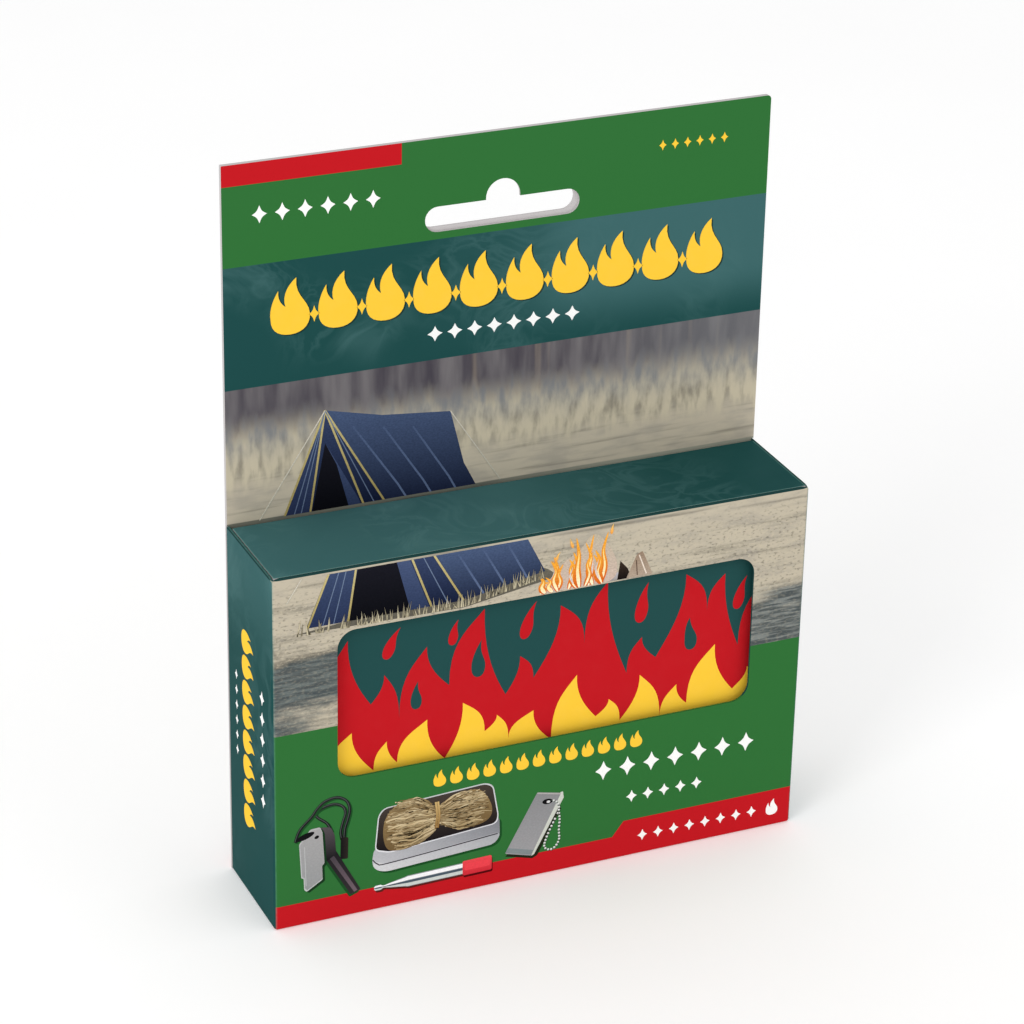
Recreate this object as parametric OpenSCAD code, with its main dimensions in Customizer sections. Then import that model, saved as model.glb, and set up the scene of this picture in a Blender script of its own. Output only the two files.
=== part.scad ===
// Fire starter tin in its hanging carton: a printed slip-lid tin with a fire-lighting kit, seen through a window.
// Millimetres. The origin is the middle of the carton's foot, +Z is up and the window faces -Y.

/* [Tin] */
// Width of the tin over its lid
tin_w = 110; // [106:1:130]
// Height of the tin, standing on edge
tin_h = 73; // [70:1:95]
// Depth of the closed tin
tin_d = 20; // [19:0.5:30]
// Corner radius of the lid, seen from the front
tin_corner_r = 9; // [6:0.5:14]
// Thickness of the steel sheet
sheet_t = 0.3; // [0.2:0.05:0.4]
// How far the lid's skirt reaches back over the body
lid_skirt = 13; // [8:0.5:16]
// Radius of the soft edge round the lid and the floor
tin_edge_r = 1.2; // [0.8:0.1:2]
// Radius of the curled rim of the body
rim_r = 0.6; // [0.4:0.05:0.7]
// Slip clearance between the curled rim and the lid
slip_gap = 0.25; // [0.15:0.05:0.5]

/* [Carton] */
// Thickness of the board
board_t = 0.5; // [0.3:0.05:0.6]
// Room between the tin and each side panel
side_gap = 2; // [1:0.25:5]
// Room between the tin and the front panel
front_gap = 1.5; // [1:0.25:4]
// Room between the tin and the back panel
back_gap = 3; // [2.75:0.25:6]
// Room above the tin, under the closed flaps
head_gap = 2.5; // [2:0.25:6]
// Height of the header above the carton
header_h = 74.5; // [50:0.5:90]
// Radius of the header's upper corners
header_corner_r = 0.8; // [0.2:0.1:4]
// Radius of the front panel's upper corners
panel_corner_r = 0.8; // [0.2:0.1:2]

/* [Window] */
// Width of the window
window_w = 90; // [60:1:94]
// Height of the window
window_h = 32.8; // [20:0.2:36]
// Height of the window's lower edge above the foot
window_z = 31.6; // [28:0.2:34]
// Shift of the window's centre to the right of the middle
window_shift = 0.9; // [-2:0.1:2]
// Corner radius of the window
window_r = 3.8; // [1:0.1:8]

/* [Hang slot] */
// Width of the slot
slot_w = 32.6; // [26:0.2:36]
// Height of the slot's straight bar
slot_bar_h = 5.2; // [5:0.1:7]
// Radius of the slot's middle hump
slot_hump_r = 3.6; // [2.8:0.1:4.5]
// Rise of the hump's centre above the bar
slot_hump_rise = 0.4; // [0:0.1:1]
// Distance of the bar's upper edge below the header's top
slot_drop = 13.9; // [10:0.1:20]
// Shift of the glued back layer's slot to the left
back_slot_left = 1; // [0:0.1:1.5]
// Shift of the glued back layer's slot upwards
back_slot_up = 0.9; // [0:0.1:0.9]

/* [Flaps] */
// Length of the tuck tongue
tongue_l = 7.5; // [5:0.25:9]
// Forward lean of the tuck tongue, in degrees
tongue_lean = 11; // [10:0.5:13]
// Radius of the tongue's corners
tongue_r = 4; // [2:0.25:5]
// How much narrower the tongue is at each side
tongue_inset = 1.5; // [0.5:0.25:4]
// Reach of a dust flap from its side panel
dust_reach = 14; // [8:0.5:18]
// Distance of a dust flap from the front panel at its crease
dust_front_gap = 1.5; // [1.5:0.25:3]
// Distance of a dust flap from the back panel
dust_back_gap = 2; // [2:0.25:4]
// Share of the reach that a dust flap's front edge slants back
dust_slant_share = 0.55; // [0.52:0.01:0.7]
// Chamfer at a dust flap's back corner
dust_chamfer = 2; // [1:0.25:4]

/* [Blow tube] */
// Radius of the mouthpiece
mouth_r = 4; // [3.8:0.1:4.6]
// Length of the mouthpiece
mouth_l = 24; // [16:1:28]
// Radius of the mouthpiece's breathing hole
mouth_hole_r = 1.8; // [1:0.1:2]
// Thickness of the closed end of the mouthpiece
mouth_end = 3; // [2:0.5:4]
// Outer radius of the widest tube section
section_r = 3.3; // [3.1:0.05:3.5]
// Wall of each tube section
section_wall = 0.25; // [0.15:0.05:0.25]
// Running clearance between the sections
section_gap = 0.1; // [0.05:0.01:0.1]
// How far the middle section stands out of the outer one
middle_show = 14; // [6:1:18]
// How far the inner section stands out of the middle one
inner_show = 9; // [5:1:12]
// Length of the nozzle past the inner section
nozzle_l = 11; // [9:1:14]
// Radius of the bead at the nozzle's tip
nozzle_bead_r = 1.7; // [1.5:0.1:2]
// Radius of the air hole through the nozzle
nozzle_hole_r = 0.8; // [0.5:0.1:0.9]

/* [Magnesium bar] */
// Length of the bar
bar_l = 64; // [50:1:66]
// Height of the bar as it stands in the tin
bar_h = 24; // [20:0.5:25]
// Thickness of the bar
bar_t = 7.5; // [5:0.25:8]
// Radius of the hole for the chain
bar_hole_r = 2.2; // [1.8:0.1:3]
// Distance of the hole from the bar's end and upper edge
bar_hole_inset = 6; // [5:0.25:8]
// Chamfer of the bar's corners
bar_chamfer = 1; // [0.5:0.1:2]

/* [Ball chain] */
// Radius of each bead
bead_r = 1.2; // [1:0.05:1.3]
// Distance from bead to bead
bead_pitch = 3.2; // [2.8:0.1:3.6]
// Radius of the wire between beads
bead_wire_r = 0.4; // [0.3:0.05:0.6]
// Wall of the clasp that joins the ends
clasp_wall = 0.35; // [0.2:0.05:0.5]

/* [Fire steel] */
// Radius of the sparking rod
rod_r = 3; // [2.5:0.1:3.4]
// Length of the rod outside its handle
rod_l = 48; // [40:1:50]
// Radius of the handle
handle_r = 4; // [3.8:0.1:4.5]
// Length of the handle
handle_l = 32; // [26:1:34]
// How deep the rod is set in the handle
rod_set = 8; // [6:1:12]
// Number of grip grooves round the handle
groove_count = 5; // [2:1:7]
// Depth of a grip groove
groove_depth = 0.5; // [0.3:0.05:0.7]
// Width of a grip groove
groove_w = 1.4; // [1:0.1:2]

/* [Striker plate] */
// Length of the striker plate
striker_l = 45; // [40:1:50]
// Height of the striker plate as it stands in the tin
striker_h = 15; // [12:0.5:16]
// Thickness of the striker plate
striker_t = 1.5; // [1:0.1:2]
// Radius of the striker's cord hole
striker_hole_r = 1.6; // [1:0.1:2]
// Radius of the ends of the striker's long hole
striker_slot_r = 3; // [2:0.1:3.5]
// Straight length of the striker's long hole
striker_slot_l = 9; // [6:0.5:12]
// Number of saw teeth
tooth_count = 8; // [4:1:9]
// Depth of the saw teeth
tooth_h = 1.2; // [0.8:0.1:2]
// Length of a saw tooth
tooth_l = 2; // [1.5:0.1:2.2]

/* [Lanyard] */
// Radius of the lanyard cord
cord_r = 0.9; // [0.7:0.05:0.95]
// Radius of the end sleeve
sleeve_r = 1.4; // [1.2:0.05:1.5]
// Length of the end sleeve
sleeve_l = 6; // [4:0.5:8]

/* [Tinder] */
// Free depth in front of the tinder bundle
bundle_play = 3.4; // [2:0.2:6]
// Radius of the bundle's tied waist
waist_r = 5.5; // [4.5:0.1:5.7]
// Radius of the strand that ties the waist
tie_r = 0.9; // [0.6:0.05:1]
// Turns of the strand round the waist
tie_turns = 3; // [2:1:4]

/* [Hidden] */
$fn = 48;

// Overrun of every cut past the face that it opens
cut = 0.5;
// Clearance at a crease, so that a flap never rubs its panel
crease_gap = 0.05;
// Clearance between the closed flap and the dust flaps under it
leaf_gap = 0.1;
// Clearance under the tin and between the loose pieces of the kit
kit_gap = 0.3;
// Clearance of the closing flap to the side panels
flap_side_gap = 0.2;
// Clearance of the closing flap to the back panel
flap_end_gap = 0.3;

// Room that a closed end takes: the closing flap, the dust flaps under it and the clearance between them
closure_t = 2 * board_t + leaf_gap;
// The carton follows the tin, the board and the room left round the tin
carton_w = tin_w + 2 * side_gap + 2 * board_t;
carton_d = tin_d + front_gap + back_gap + 3 * board_t;
carton_h = tin_h + head_gap + kit_gap + 2 * closure_t;
total_h = carton_h + header_h;
half_w = carton_w / 2;
in_half_w = half_w - board_t;
front_y = -carton_d / 2;
front_in_y = front_y + board_t;
back_y = carton_d / 2;
back_in_y = back_y - 2 * board_t;

// The tin stands on the lower dust flaps, behind the window
tin_z = closure_t + kit_gap + tin_h / 2;
lid_face_y = front_in_y + front_gap;
floor_face_y = lid_face_y + tin_d;
lid_in_y = lid_face_y + sheet_t;
floor_in_y = floor_face_y - sheet_t;
// The body is smaller than the lid by the lid's sheet, the slip clearance and the curl of its rim
body_inset = sheet_t + slip_gap + rim_r - sheet_t / 2;
body_w = tin_w - 2 * body_inset;
body_h = tin_h - 2 * body_inset;
body_corner_r = tin_corner_r - body_inset;
body_depth = tin_d - sheet_t - kit_gap - rim_r;
in_corner_r = body_corner_r - sheet_t;
in_half_x = body_w / 2 - sheet_t;
in_z0 = tin_z - body_h / 2 + sheet_t;
in_z1 = tin_z + body_h / 2 - sheet_t;
// Half the straight stretch of the lower wall, between its rounded corners
straight_x = in_half_x - in_corner_r;

// The blow tube lies along the lower wall, against the tin's floor
tube_l = 2 * straight_x;
tube_y = floor_in_y - kit_gap - mouth_r;
tube_z = in_z0 + kit_gap + mouth_r;
middle_r = section_r - section_wall - section_gap;
inner_r = middle_r - section_wall - section_gap;
stub_r = inner_r - section_wall - section_gap;
section_x1 = straight_x - mouth_end;
outer_x0 = -straight_x + nozzle_l + inner_show + middle_show;
middle_x0 = outer_x0 - middle_show;
inner_x0 = middle_x0 - inner_show;
nozzle_set = nozzle_l / 2;

// The fire steel lies in front of the tube, with its handle to the right
handle_x1 = straight_x - 1.5 * handle_r;
handle_x0 = handle_x1 - handle_l;
steel_y = tube_y - mouth_r - kit_gap - handle_r;
steel_z = in_z0 + kit_gap + handle_r;

// The bar stands on the tube and leaves room for the chain behind it
bar_x0 = -in_half_x + 2 * bar_chamfer;
bar_x1 = bar_x0 + bar_l;
bar_back_y = floor_in_y - 2 * kit_gap - 2 * bead_r;
bar_front_y = bar_back_y - bar_t;
bar_z0 = tube_z + mouth_r + kit_gap;
bar_z1 = bar_z0 + bar_h;
bar_hole_x = bar_x1 - bar_hole_inset;
bar_hole_z = bar_z1 - bar_hole_inset;

// The striker plate stands on the handle, in front of the bar
striker_x1 = handle_x1 - 2 * bar_hole_inset;
striker_x0 = striker_x1 - striker_l;
striker_back_y = bar_front_y - kit_gap;
striker_front_y = striker_back_y - striker_t;
striker_z0 = steel_z + handle_r + kit_gap;
striker_hole_x = striker_x1 - 2 * striker_hole_r;
striker_end_slant = striker_h / 4;

// The chain goes through the bar's hole and hangs in the free end of the tin
chain_back_y = bar_back_y + kit_gap + bead_r;
chain_front_y = bar_front_y - kit_gap - bead_r;
chain_floor_z = bar_z0 + bead_r;
chain_fall = bar_hole_z - chain_floor_z;
clasp_r = bead_r + section_gap + clasp_wall;
clasp_l = 2 * bead_pitch + 2 * bead_r;
clasp_y = (chain_back_y + bar_front_y) / 2;
clasp_z = chain_floor_z + clasp_r - bead_r;
// Share of the free end, past the bar, at which the chain's clasp lies
chain_reach_share = 0.541;
chain_reach = chain_reach_share * (in_half_x - bar_x1);
clasp_x = bar_x1 + chain_reach;
// Sides of the many small beads and of the wires between them
bead_sides = 10;
wire_sides = 6;
// Places along the chain's front and back strands, as shares of its reach and of its fall
strand_shares = [
  [0.66, 0.9], [0.37, 0.55], [0.24, 0.14], [0.13, 0.02],
  [0.29, 0.08], [0.64, 0.2], [1, 0.4], [1.29, 0.68], [1.33, 0.9]
];
strand_ys = [
  clasp_y - bead_r, bar_front_y + 3 * bead_r, bar_front_y + 2 * bead_r, chain_front_y + bead_r,
  chain_back_y, chain_back_y, chain_back_y - bead_r / 2, chain_back_y - bead_r, clasp_y + bead_r
];
function strand_point(i) =
  [bar_x1 + strand_shares[i][0] * chain_reach, strand_ys[i], bar_hole_z - strand_shares[i][1] * chain_fall];
chain_route = [
  [clasp_x - bead_pitch, clasp_y, clasp_z],
  for (i = [0:3]) strand_point(i),
  [bar_x1 - bead_r, chain_front_y, bar_hole_z],
  [bar_hole_x, chain_front_y, bar_hole_z],
  [bar_hole_x, chain_back_y, bar_hole_z],
  [bar_x1, chain_back_y, bar_hole_z],
  for (i = [4:8]) strand_point(i),
  [clasp_x + bead_pitch, clasp_y, clasp_z]
];

// The lanyard's route from the handle's end, in round numbers, up round the free end to the striker's cord hole
cord_points = [
  [0, 0, 0], [3, 0, 0], [5.8, -0.2, 0.9], [8, -0.6, 2.8], [9.3, -1.1, 5.4], [9.8, -1.6, 8.4], [9.6, -2.1, 11.6],
  [8.9, -2.5, 14.8], [7.6, -2.8, 17.8], [5.8, -3, 20.4], [3.4, -3.2, 22.6], [0.6, -3.2, 24.2], [-2.4, -3.2, 25],
  [-5.6, -3.1, 25.2], [-8.8, -2.9, 24.7], [-11.6, -2.5, 23.4], [-13.8, -2.1, 21.3], [-14.9, -1.8, 18.6],
  [-15.2, -1.7, 16]
];
cord_exit = [handle_x1, steel_y, steel_z];
cord_end = cord_exit + cord_points[len(cord_points) - 1];
cord_sides = 8;

// The tinder bundle fills the tin above the bar
bundle_d = tin_d - 2 * sheet_t - kit_gap - bundle_play;
bundle_z0 = bar_z1 + kit_gap;
bundle_z1 = in_z1 - kit_gap;
bundle_half_h = (bundle_z1 - bundle_z0) / 2;
bundle_z = (bundle_z1 + bundle_z0) / 2;
bundle_y = floor_in_y - kit_gap - max(bundle_d / 2, waist_r + kit_gap + 2 * tie_r);
bundle_half_l = in_half_x - 2 * kit_gap;
bundle_end_share = 0.98;
bundle_waist_share = 0.5;
bundle_stations = 28;
bundle_sides = 20;

teal = [0.13, 0.30, 0.30];
green = [0.20, 0.44, 0.22];
red = [0.76, 0.13, 0.15];
buff = [0.66, 0.62, 0.53];
board_white = [0.86, 0.85, 0.84];
steel = [0.72, 0.73, 0.74];
dark_grey = [0.20, 0.20, 0.21];
black = [0.06, 0.06, 0.06];
straw = [0.62, 0.49, 0.30];

// A flat outline in X and Z, given thickness from y0 towards the back
module upright(y0, t) {
  translate([0, y0 + t, 0]) rotate([90, 0, 0]) linear_extrude(t) children();
}

// Turns what is drawn for the top end over to the foot
module at_foot() {
  translate([0, 0, carton_h]) mirror([0, 0, 1]) children();
}

// A rectangle with round corners, centred
module rounded_rectangle(w, h, r) {
  square([w - 2 * r, h], center = true);
  square([w, h - 2 * r], center = true);
  for (x = [-1, 1], y = [-1, 1])
    translate([x * (w / 2 - r), y * (h / 2 - r)]) circle(r);
}

// A rectangle on the X axis whose upper corners alone are round
module round_topped(w, h, r) {
  translate([-w / 2, 0]) square([w, h - r]);
  translate([-w / 2 + r, 0]) square([w - 2 * r, h]);
  for (x = [-1, 1])
    translate([x * (w / 2 - r), h - r]) circle(r);
}

// The hang slot: a round-ended bar with a hump over its middle
module slot_outline() {
  bar_z = total_h - slot_drop - slot_bar_h / 2;
  translate([0, bar_z]) {
    square([slot_w - slot_bar_h, slot_bar_h], center = true);
    for (x = [-1, 1])
      translate([x * (slot_w - slot_bar_h) / 2, 0]) circle(d = slot_bar_h);
    translate([0, slot_bar_h / 2 + slot_hump_rise]) circle(slot_hump_r);
    translate([-slot_hump_r, 0]) square([2 * slot_hump_r, slot_bar_h / 2 + slot_hump_rise]);
  }
}

module front_panel() {
  color(green)
    upright(front_y, board_t)
      difference() {
        round_topped(carton_w, carton_h, panel_corner_r);
        translate([window_shift, window_z + window_h / 2]) rounded_rectangle(window_w, window_h, window_r);
      }
}

// A side panel runs from the front panel to the layer of the back that it folds into
module side_panel(x0, back) {
  color(teal)
    translate([x0, front_in_y, 0])
      cube([board_t, back - front_in_y, carton_h]);
}

module left_side_panel() {
  side_panel(-half_w, back_in_y);
}

module right_side_panel() {
  side_panel(in_half_w, back_in_y + board_t);
}

// The inner layer of the back goes up to the header's top, and its right edge is tucked inside the carton
module back_panel() {
  color(buff)
    upright(back_in_y, board_t)
      difference() {
        union() {
          translate([-half_w, 0]) square([half_w + in_half_w, carton_h]);
          translate([0, carton_h]) round_topped(carton_w, header_h, header_corner_r);
        }
        slot_outline();
      }
}

// The outer layer of the back is glued over the inner one, from the foot to the header's top
module fifth_panel() {
  color(board_white)
    upright(back_in_y + board_t, board_t)
      difference() {
        round_topped(carton_w, total_h, header_corner_r);
        translate([-back_slot_left, back_slot_up]) slot_outline();
      }
}

// The closing flap lies between the tops of the panels and is hinged along the front panel
module closing_flap() {
  flap_half = in_half_w - flap_side_gap;
  flap_y0 = front_in_y + crease_gap;
  flap_y1 = back_in_y - flap_end_gap;
  translate([-flap_half, flap_y0, carton_h - board_t]) cube([2 * flap_half, flap_y1 - flap_y0, board_t]);
}

// The tongue turns down from the closing flap's far edge and leans forward
module tuck_tongue() {
  tongue_half = in_half_w - flap_side_gap - tongue_inset;
  y1 = back_in_y - flap_end_gap;
  z1 = carton_h - board_t;
  leaf = board_t / cos(tongue_lean);
  slant = tongue_l * tan(tongue_lean);
  intersection() {
    translate([-tongue_half, 0, 0]) rotate([90, 0, 90]) linear_extrude(2 * tongue_half)
      polygon([[y1, z1], [y1 - leaf, z1], [y1 - leaf - slant, z1 - tongue_l], [y1 - slant, z1 - tongue_l]]);
    upright(y1 - leaf - slant - cut, leaf + slant + 2 * cut)
      translate([0, z1 - tongue_l]) {
        translate([-tongue_half, tongue_r]) square([2 * tongue_half, tongue_l - tongue_r + cut]);
        translate([-tongue_half + tongue_r, 0]) square([2 * (tongue_half - tongue_r), tongue_r + cut]);
        for (x = [-1, 1])
          translate([x * (tongue_half - tongue_r), tongue_r]) circle(tongue_r);
      }
  }
}

// A dust flap, drawn at the left: its front edge slants back so that it can open under the closing flap
module dust_flap() {
  x0 = -in_half_w + crease_gap;
  x1 = x0 + dust_reach;
  y0 = front_in_y + dust_front_gap;
  y1 = back_in_y - dust_back_gap;
  translate([0, 0, carton_h - closure_t]) linear_extrude(board_t)
    polygon([
      [x0, y0],
      [x1, y0 + dust_slant_share * dust_reach],
      [x1, y1 - dust_chamfer],
      [x1 - dust_chamfer, y1],
      [x0, y1]
    ]);
}

module top_flap() {
  color(teal) closing_flap();
}

module top_tuck_tongue() {
  color(teal) tuck_tongue();
}

module top_dust_flap_left() {
  color(board_white) dust_flap();
}

module top_dust_flap_right() {
  color(board_white) mirror([1, 0, 0]) dust_flap();
}

module bottom_flap() {
  color(teal) at_foot() closing_flap();
}

module bottom_tuck_tongue() {
  color(teal) at_foot() tuck_tongue();
}

module bottom_dust_flap_left() {
  color(board_white) at_foot() dust_flap();
}

module bottom_dust_flap_right() {
  color(board_white) at_foot() mirror([1, 0, 0]) dust_flap();
}

// Section of a drawn sheet pan at its corner: floor, rounded edge and wall, from the corner's centre outwards
module pan_profile(r, depth) {
  edge = min(tin_edge_r, r - sheet_t);
  square([r - edge, sheet_t]);
  translate([r - sheet_t, edge]) square([sheet_t, depth - edge]);
  intersection() {
    translate([r - edge, edge]) difference() {
      circle(edge);
      circle(edge - sheet_t);
    }
    translate([r - edge, 0]) square([edge, edge]);
  }
}

// A drawn pan with round corners: its floor lies on Z = 0 and it opens upwards
module pan(w, h, r, depth) {
  straight_w = w - 2 * r;
  straight_h = h - 2 * r;
  for (side = [0, 1]) {
    mirror([side, 0, 0]) {
      translate([straight_w / 2, straight_h / 2, 0]) rotate([90, 0, 0]) linear_extrude(straight_h)
        pan_profile(r, depth);
      translate([straight_w / 2, straight_h / 2, 0]) rotate_extrude(angle = 90) pan_profile(r, depth);
      translate([straight_w / 2, -straight_h / 2, 0]) rotate([0, 0, -90]) rotate_extrude(angle = 90)
        pan_profile(r, depth);
    }
    mirror([0, side, 0])
      translate([-straight_w / 2, straight_h / 2, 0]) rotate([90, 0, 90]) linear_extrude(straight_w)
        pan_profile(r, depth);
  }
  translate([-straight_w / 2, -straight_h / 2, 0]) cube([straight_w, straight_h, sheet_t]);
}

// The curled rim: a wire-like bead that follows the wall
module curled_rim(w, h, r) {
  straight_w = w - 2 * r;
  straight_h = h - 2 * r;
  for (side = [0, 1]) {
    mirror([side, 0, 0]) {
      translate([w / 2, straight_h / 2, 0]) rotate([90, 0, 0]) cylinder(h = straight_h, r = rim_r);
      translate([straight_w / 2, straight_h / 2, 0]) rotate_extrude(angle = 90) translate([r, 0]) circle(rim_r);
      translate([straight_w / 2, -straight_h / 2, 0]) rotate([0, 0, -90]) rotate_extrude(angle = 90)
        translate([r, 0]) circle(rim_r);
    }
    mirror([0, side, 0])
      translate([-straight_w / 2, h / 2, 0]) rotate([0, 90, 0]) cylinder(h = straight_w, r = rim_r);
  }
}

module tin_body() {
  color(steel)
    translate([0, floor_face_y, tin_z]) rotate([90, 0, 0]) {
      pan(body_w, body_h, body_corner_r, body_depth);
      translate([0, 0, body_depth]) curled_rim(body_w - sheet_t, body_h - sheet_t, body_corner_r - sheet_t / 2);
    }
}

module tin_lid() {
  color(red)
    translate([0, lid_face_y, tin_z]) rotate([-90, 0, 0]) pan(tin_w, tin_h, tin_corner_r, lid_skirt);
}

// A tube along X from x0 to x1 on the blow tube's axis
module tube_section(x0, x1, r, bore_r) {
  translate([x0, tube_y, tube_z]) rotate([0, 90, 0]) difference() {
    cylinder(h = x1 - x0, r = r);
    translate([0, 0, -cut]) cylinder(h = x1 - x0 + 2 * cut, r = bore_r);
  }
}

module mouthpiece() {
  lip = mouth_end / 2;
  sleeve_bore_r = section_r + section_gap;
  color(red)
    translate([straight_x - mouth_l, tube_y, tube_z]) rotate([0, 90, 0]) rotate_extrude()
      polygon([
        [sleeve_bore_r, 0],
        [mouth_r, 0],
        [mouth_r, mouth_l - lip],
        [mouth_r - lip / 2, mouth_l],
        [mouth_hole_r, mouth_l],
        [mouth_hole_r, mouth_l - mouth_end],
        [sleeve_bore_r, mouth_l - mouth_end]
      ]);
}

module blow_tube_outer() {
  color(steel) tube_section(outer_x0, section_x1, section_r, section_r - section_wall);
}

module blow_tube_middle() {
  color(steel) tube_section(middle_x0, section_x1, middle_r, middle_r - section_wall);
}

module blow_tube_inner() {
  color(steel) tube_section(inner_x0, section_x1, inner_r, inner_r - section_wall);
}

// The nozzle's stub sits in the inner section; outside it tapers to a bead
module blow_tube_nozzle() {
  neck_r = nozzle_bead_r - section_wall;
  color(steel)
    translate([inner_x0, tube_y, tube_z]) rotate([0, -90, 0]) difference() {
      union() {
        translate([0, 0, -nozzle_set]) cylinder(h = nozzle_set, r = stub_r);
        cylinder(h = nozzle_l - nozzle_bead_r, r1 = inner_r, r2 = neck_r);
        translate([0, 0, nozzle_l - nozzle_bead_r]) sphere(nozzle_bead_r);
      }
      translate([0, 0, -nozzle_set - cut]) cylinder(h = nozzle_set + nozzle_l + 2 * cut, r = nozzle_hole_r);
    }
}

module magnesium_bar() {
  color(steel)
    upright(bar_front_y, bar_t)
      difference() {
        polygon([
          [bar_x0 + bar_chamfer, bar_z0],
          [bar_x1 - bar_chamfer, bar_z0],
          [bar_x1, bar_z0 + bar_chamfer],
          [bar_x1, bar_z1 - bar_chamfer],
          [bar_x1 - bar_chamfer, bar_z1],
          [bar_x0 + bar_chamfer, bar_z1],
          [bar_x0, bar_z1 - bar_chamfer],
          [bar_x0, bar_z0 + bar_chamfer]
        ]);
        translate([bar_hole_x, bar_hole_z]) circle(bar_hole_r);
      }
}

// Distance along the chain's route to each of its points
function run_to(route, i) = i == 0 ? 0 : run_to(route, i - 1) + norm(route[i] - route[i - 1]);
chain_runs = [for (i = [0:len(chain_route) - 1]) run_to(chain_route, i)];
chain_length = chain_runs[len(chain_runs) - 1];
bead_count = floor(chain_length / bead_pitch) + 1;
bead_step = chain_length / (bead_count - 1);

// The point at a distance along the chain's route
function chain_point(run) = [
  for (k = [0:2]) lookup(run, [for (i = [0:len(chain_route) - 1]) [chain_runs[i], chain_route[i][k]]])
];

// The straight wire between two beads, its ends set half a bead's radius from their centres
module bead_wire(a, b) {
  span = b - a;
  turn = atan2(span[1], span[0]);
  tilt = acos(span[2] / norm(span));
  translate(a) rotate([0, tilt, turn])
    translate([0, 0, bead_r / 2]) cylinder(h = norm(span) - bead_r, r = bead_wire_r, $fn = wire_sides);
}

module ball_chain() {
  beads = [for (i = [0:bead_count - 1]) chain_point(i * bead_step)];
  color(steel) {
    for (bead = beads) translate(bead) sphere(bead_r, $fn = bead_sides);
    for (i = [1:bead_count - 1]) bead_wire(beads[i - 1], beads[i]);
  }
}

// The clasp is a split tube that holds the chain's two end beads
module chain_clasp() {
  color(steel)
    translate([clasp_x - clasp_l / 2, clasp_y, clasp_z]) rotate([0, 90, 0]) difference() {
      cylinder(h = clasp_l, r = clasp_r);
      translate([0, 0, -cut]) cylinder(h = clasp_l + 2 * cut, r = clasp_r - clasp_wall);
    }
}

module ferro_rod() {
  color(dark_grey)
    translate([handle_x0 - rod_l, steel_y, steel_z]) rotate([0, 90, 0]) cylinder(h = rod_l + rod_set, r = rod_r);
}

module rod_handle() {
  pitch = handle_l / (groove_count + 2);
  color(black)
    translate([handle_x0, steel_y, steel_z]) rotate([0, 90, 0]) difference() {
      cylinder(h = handle_l, r = handle_r);
      translate([0, 0, -cut]) cylinder(h = rod_set + cut, r = rod_r);
      for (i = [1:groove_count])
        translate([0, 0, i * pitch + groove_w / 2]) difference() {
          cylinder(h = groove_w, r = handle_r + cut);
          translate([0, 0, -cut]) cylinder(h = groove_w + 2 * cut, r = handle_r - groove_depth);
        }
    }
}

// A steel plate with a slanted end, a row of saw teeth, a long hole and a cord hole
module striker_plate() {
  z1 = striker_z0 + striker_h;
  z_mid = striker_z0 + striker_h / 2;
  slot_x = striker_x0 + striker_l / 2;
  saw_x0 = striker_x0 + striker_slot_r;
  color(steel)
    upright(striker_front_y, striker_t)
      difference() {
        polygon([
          [striker_x0, striker_z0],
          [striker_x1 - striker_slot_r, striker_z0],
          [striker_x1, striker_z0 + striker_slot_r],
          [striker_x1, z1 - striker_slot_r],
          [striker_x1 - striker_slot_r, z1],
          [striker_x0 + striker_end_slant, z1]
        ]);
        for (i = [0:tooth_count - 1])
          translate([saw_x0 + i * tooth_l, striker_z0])
            polygon([[0, -cut], [tooth_l, -cut], [tooth_l, 0], [tooth_l / 2, tooth_h], [0, 0]]);
        translate([slot_x, z_mid]) {
          square([striker_slot_l, 2 * striker_slot_r], center = true);
          for (x = [-1, 1]) translate([x * striker_slot_l / 2, 0]) circle(striker_slot_r);
        }
        translate([striker_hole_x, z_mid]) circle(striker_hole_r);
      }
}

// Direction of the lanyard at each of its points; the ends leave square to what they meet
function unit(v) = v / norm(v);
function cord_heading(i) =
  i == 0 ? [1, 0, 0]
  : i == len(cord_points) - 1 ? [0, 0, -1]
  : unit(cord_points[i + 1] - cord_points[i - 1]);
function cord_ring(i) =
  let (along = cord_heading(i))
  let (across = unit(cross(along, [0, 1, 0])))
  let (over = cross(along, across))
  [for (k = [0:cord_sides - 1])
    cord_points[i] + cord_r * (cos(360 * k / cord_sides) * across + sin(360 * k / cord_sides) * over)];

// A tube of rings joined side by side, closed at both ends
module ringed_solid(rings) {
  count = len(rings);
  sides = len(rings[0]);
  skin = [for (i = [0:count - 2], k = [0:sides - 1]) let (n = (k + 1) % sides)
    each [[i * sides + k, i * sides + n, (i + 1) * sides + n], [i * sides + k, (i + 1) * sides + n, (i + 1) * sides + k]]];
  first = [for (k = [1:sides - 2]) [0, k + 1, k]];
  last = [for (k = [1:sides - 2]) [(count - 1) * sides, (count - 1) * sides + k, (count - 1) * sides + k + 1]];
  polyhedron([for (ring = rings) each ring], concat(skin, first, last));
}

module lanyard_cord() {
  color(black) translate(cord_exit) ringed_solid([for (i = [0:len(cord_points) - 1]) cord_ring(i)]);
}

// The sleeve hangs from the cord's end, in front of the striker's cord hole
module lanyard_sleeve() {
  color(black) translate(cord_end - [0, 0, sleeve_l]) cylinder(h = sleeve_l, r = sleeve_r);
}

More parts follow.
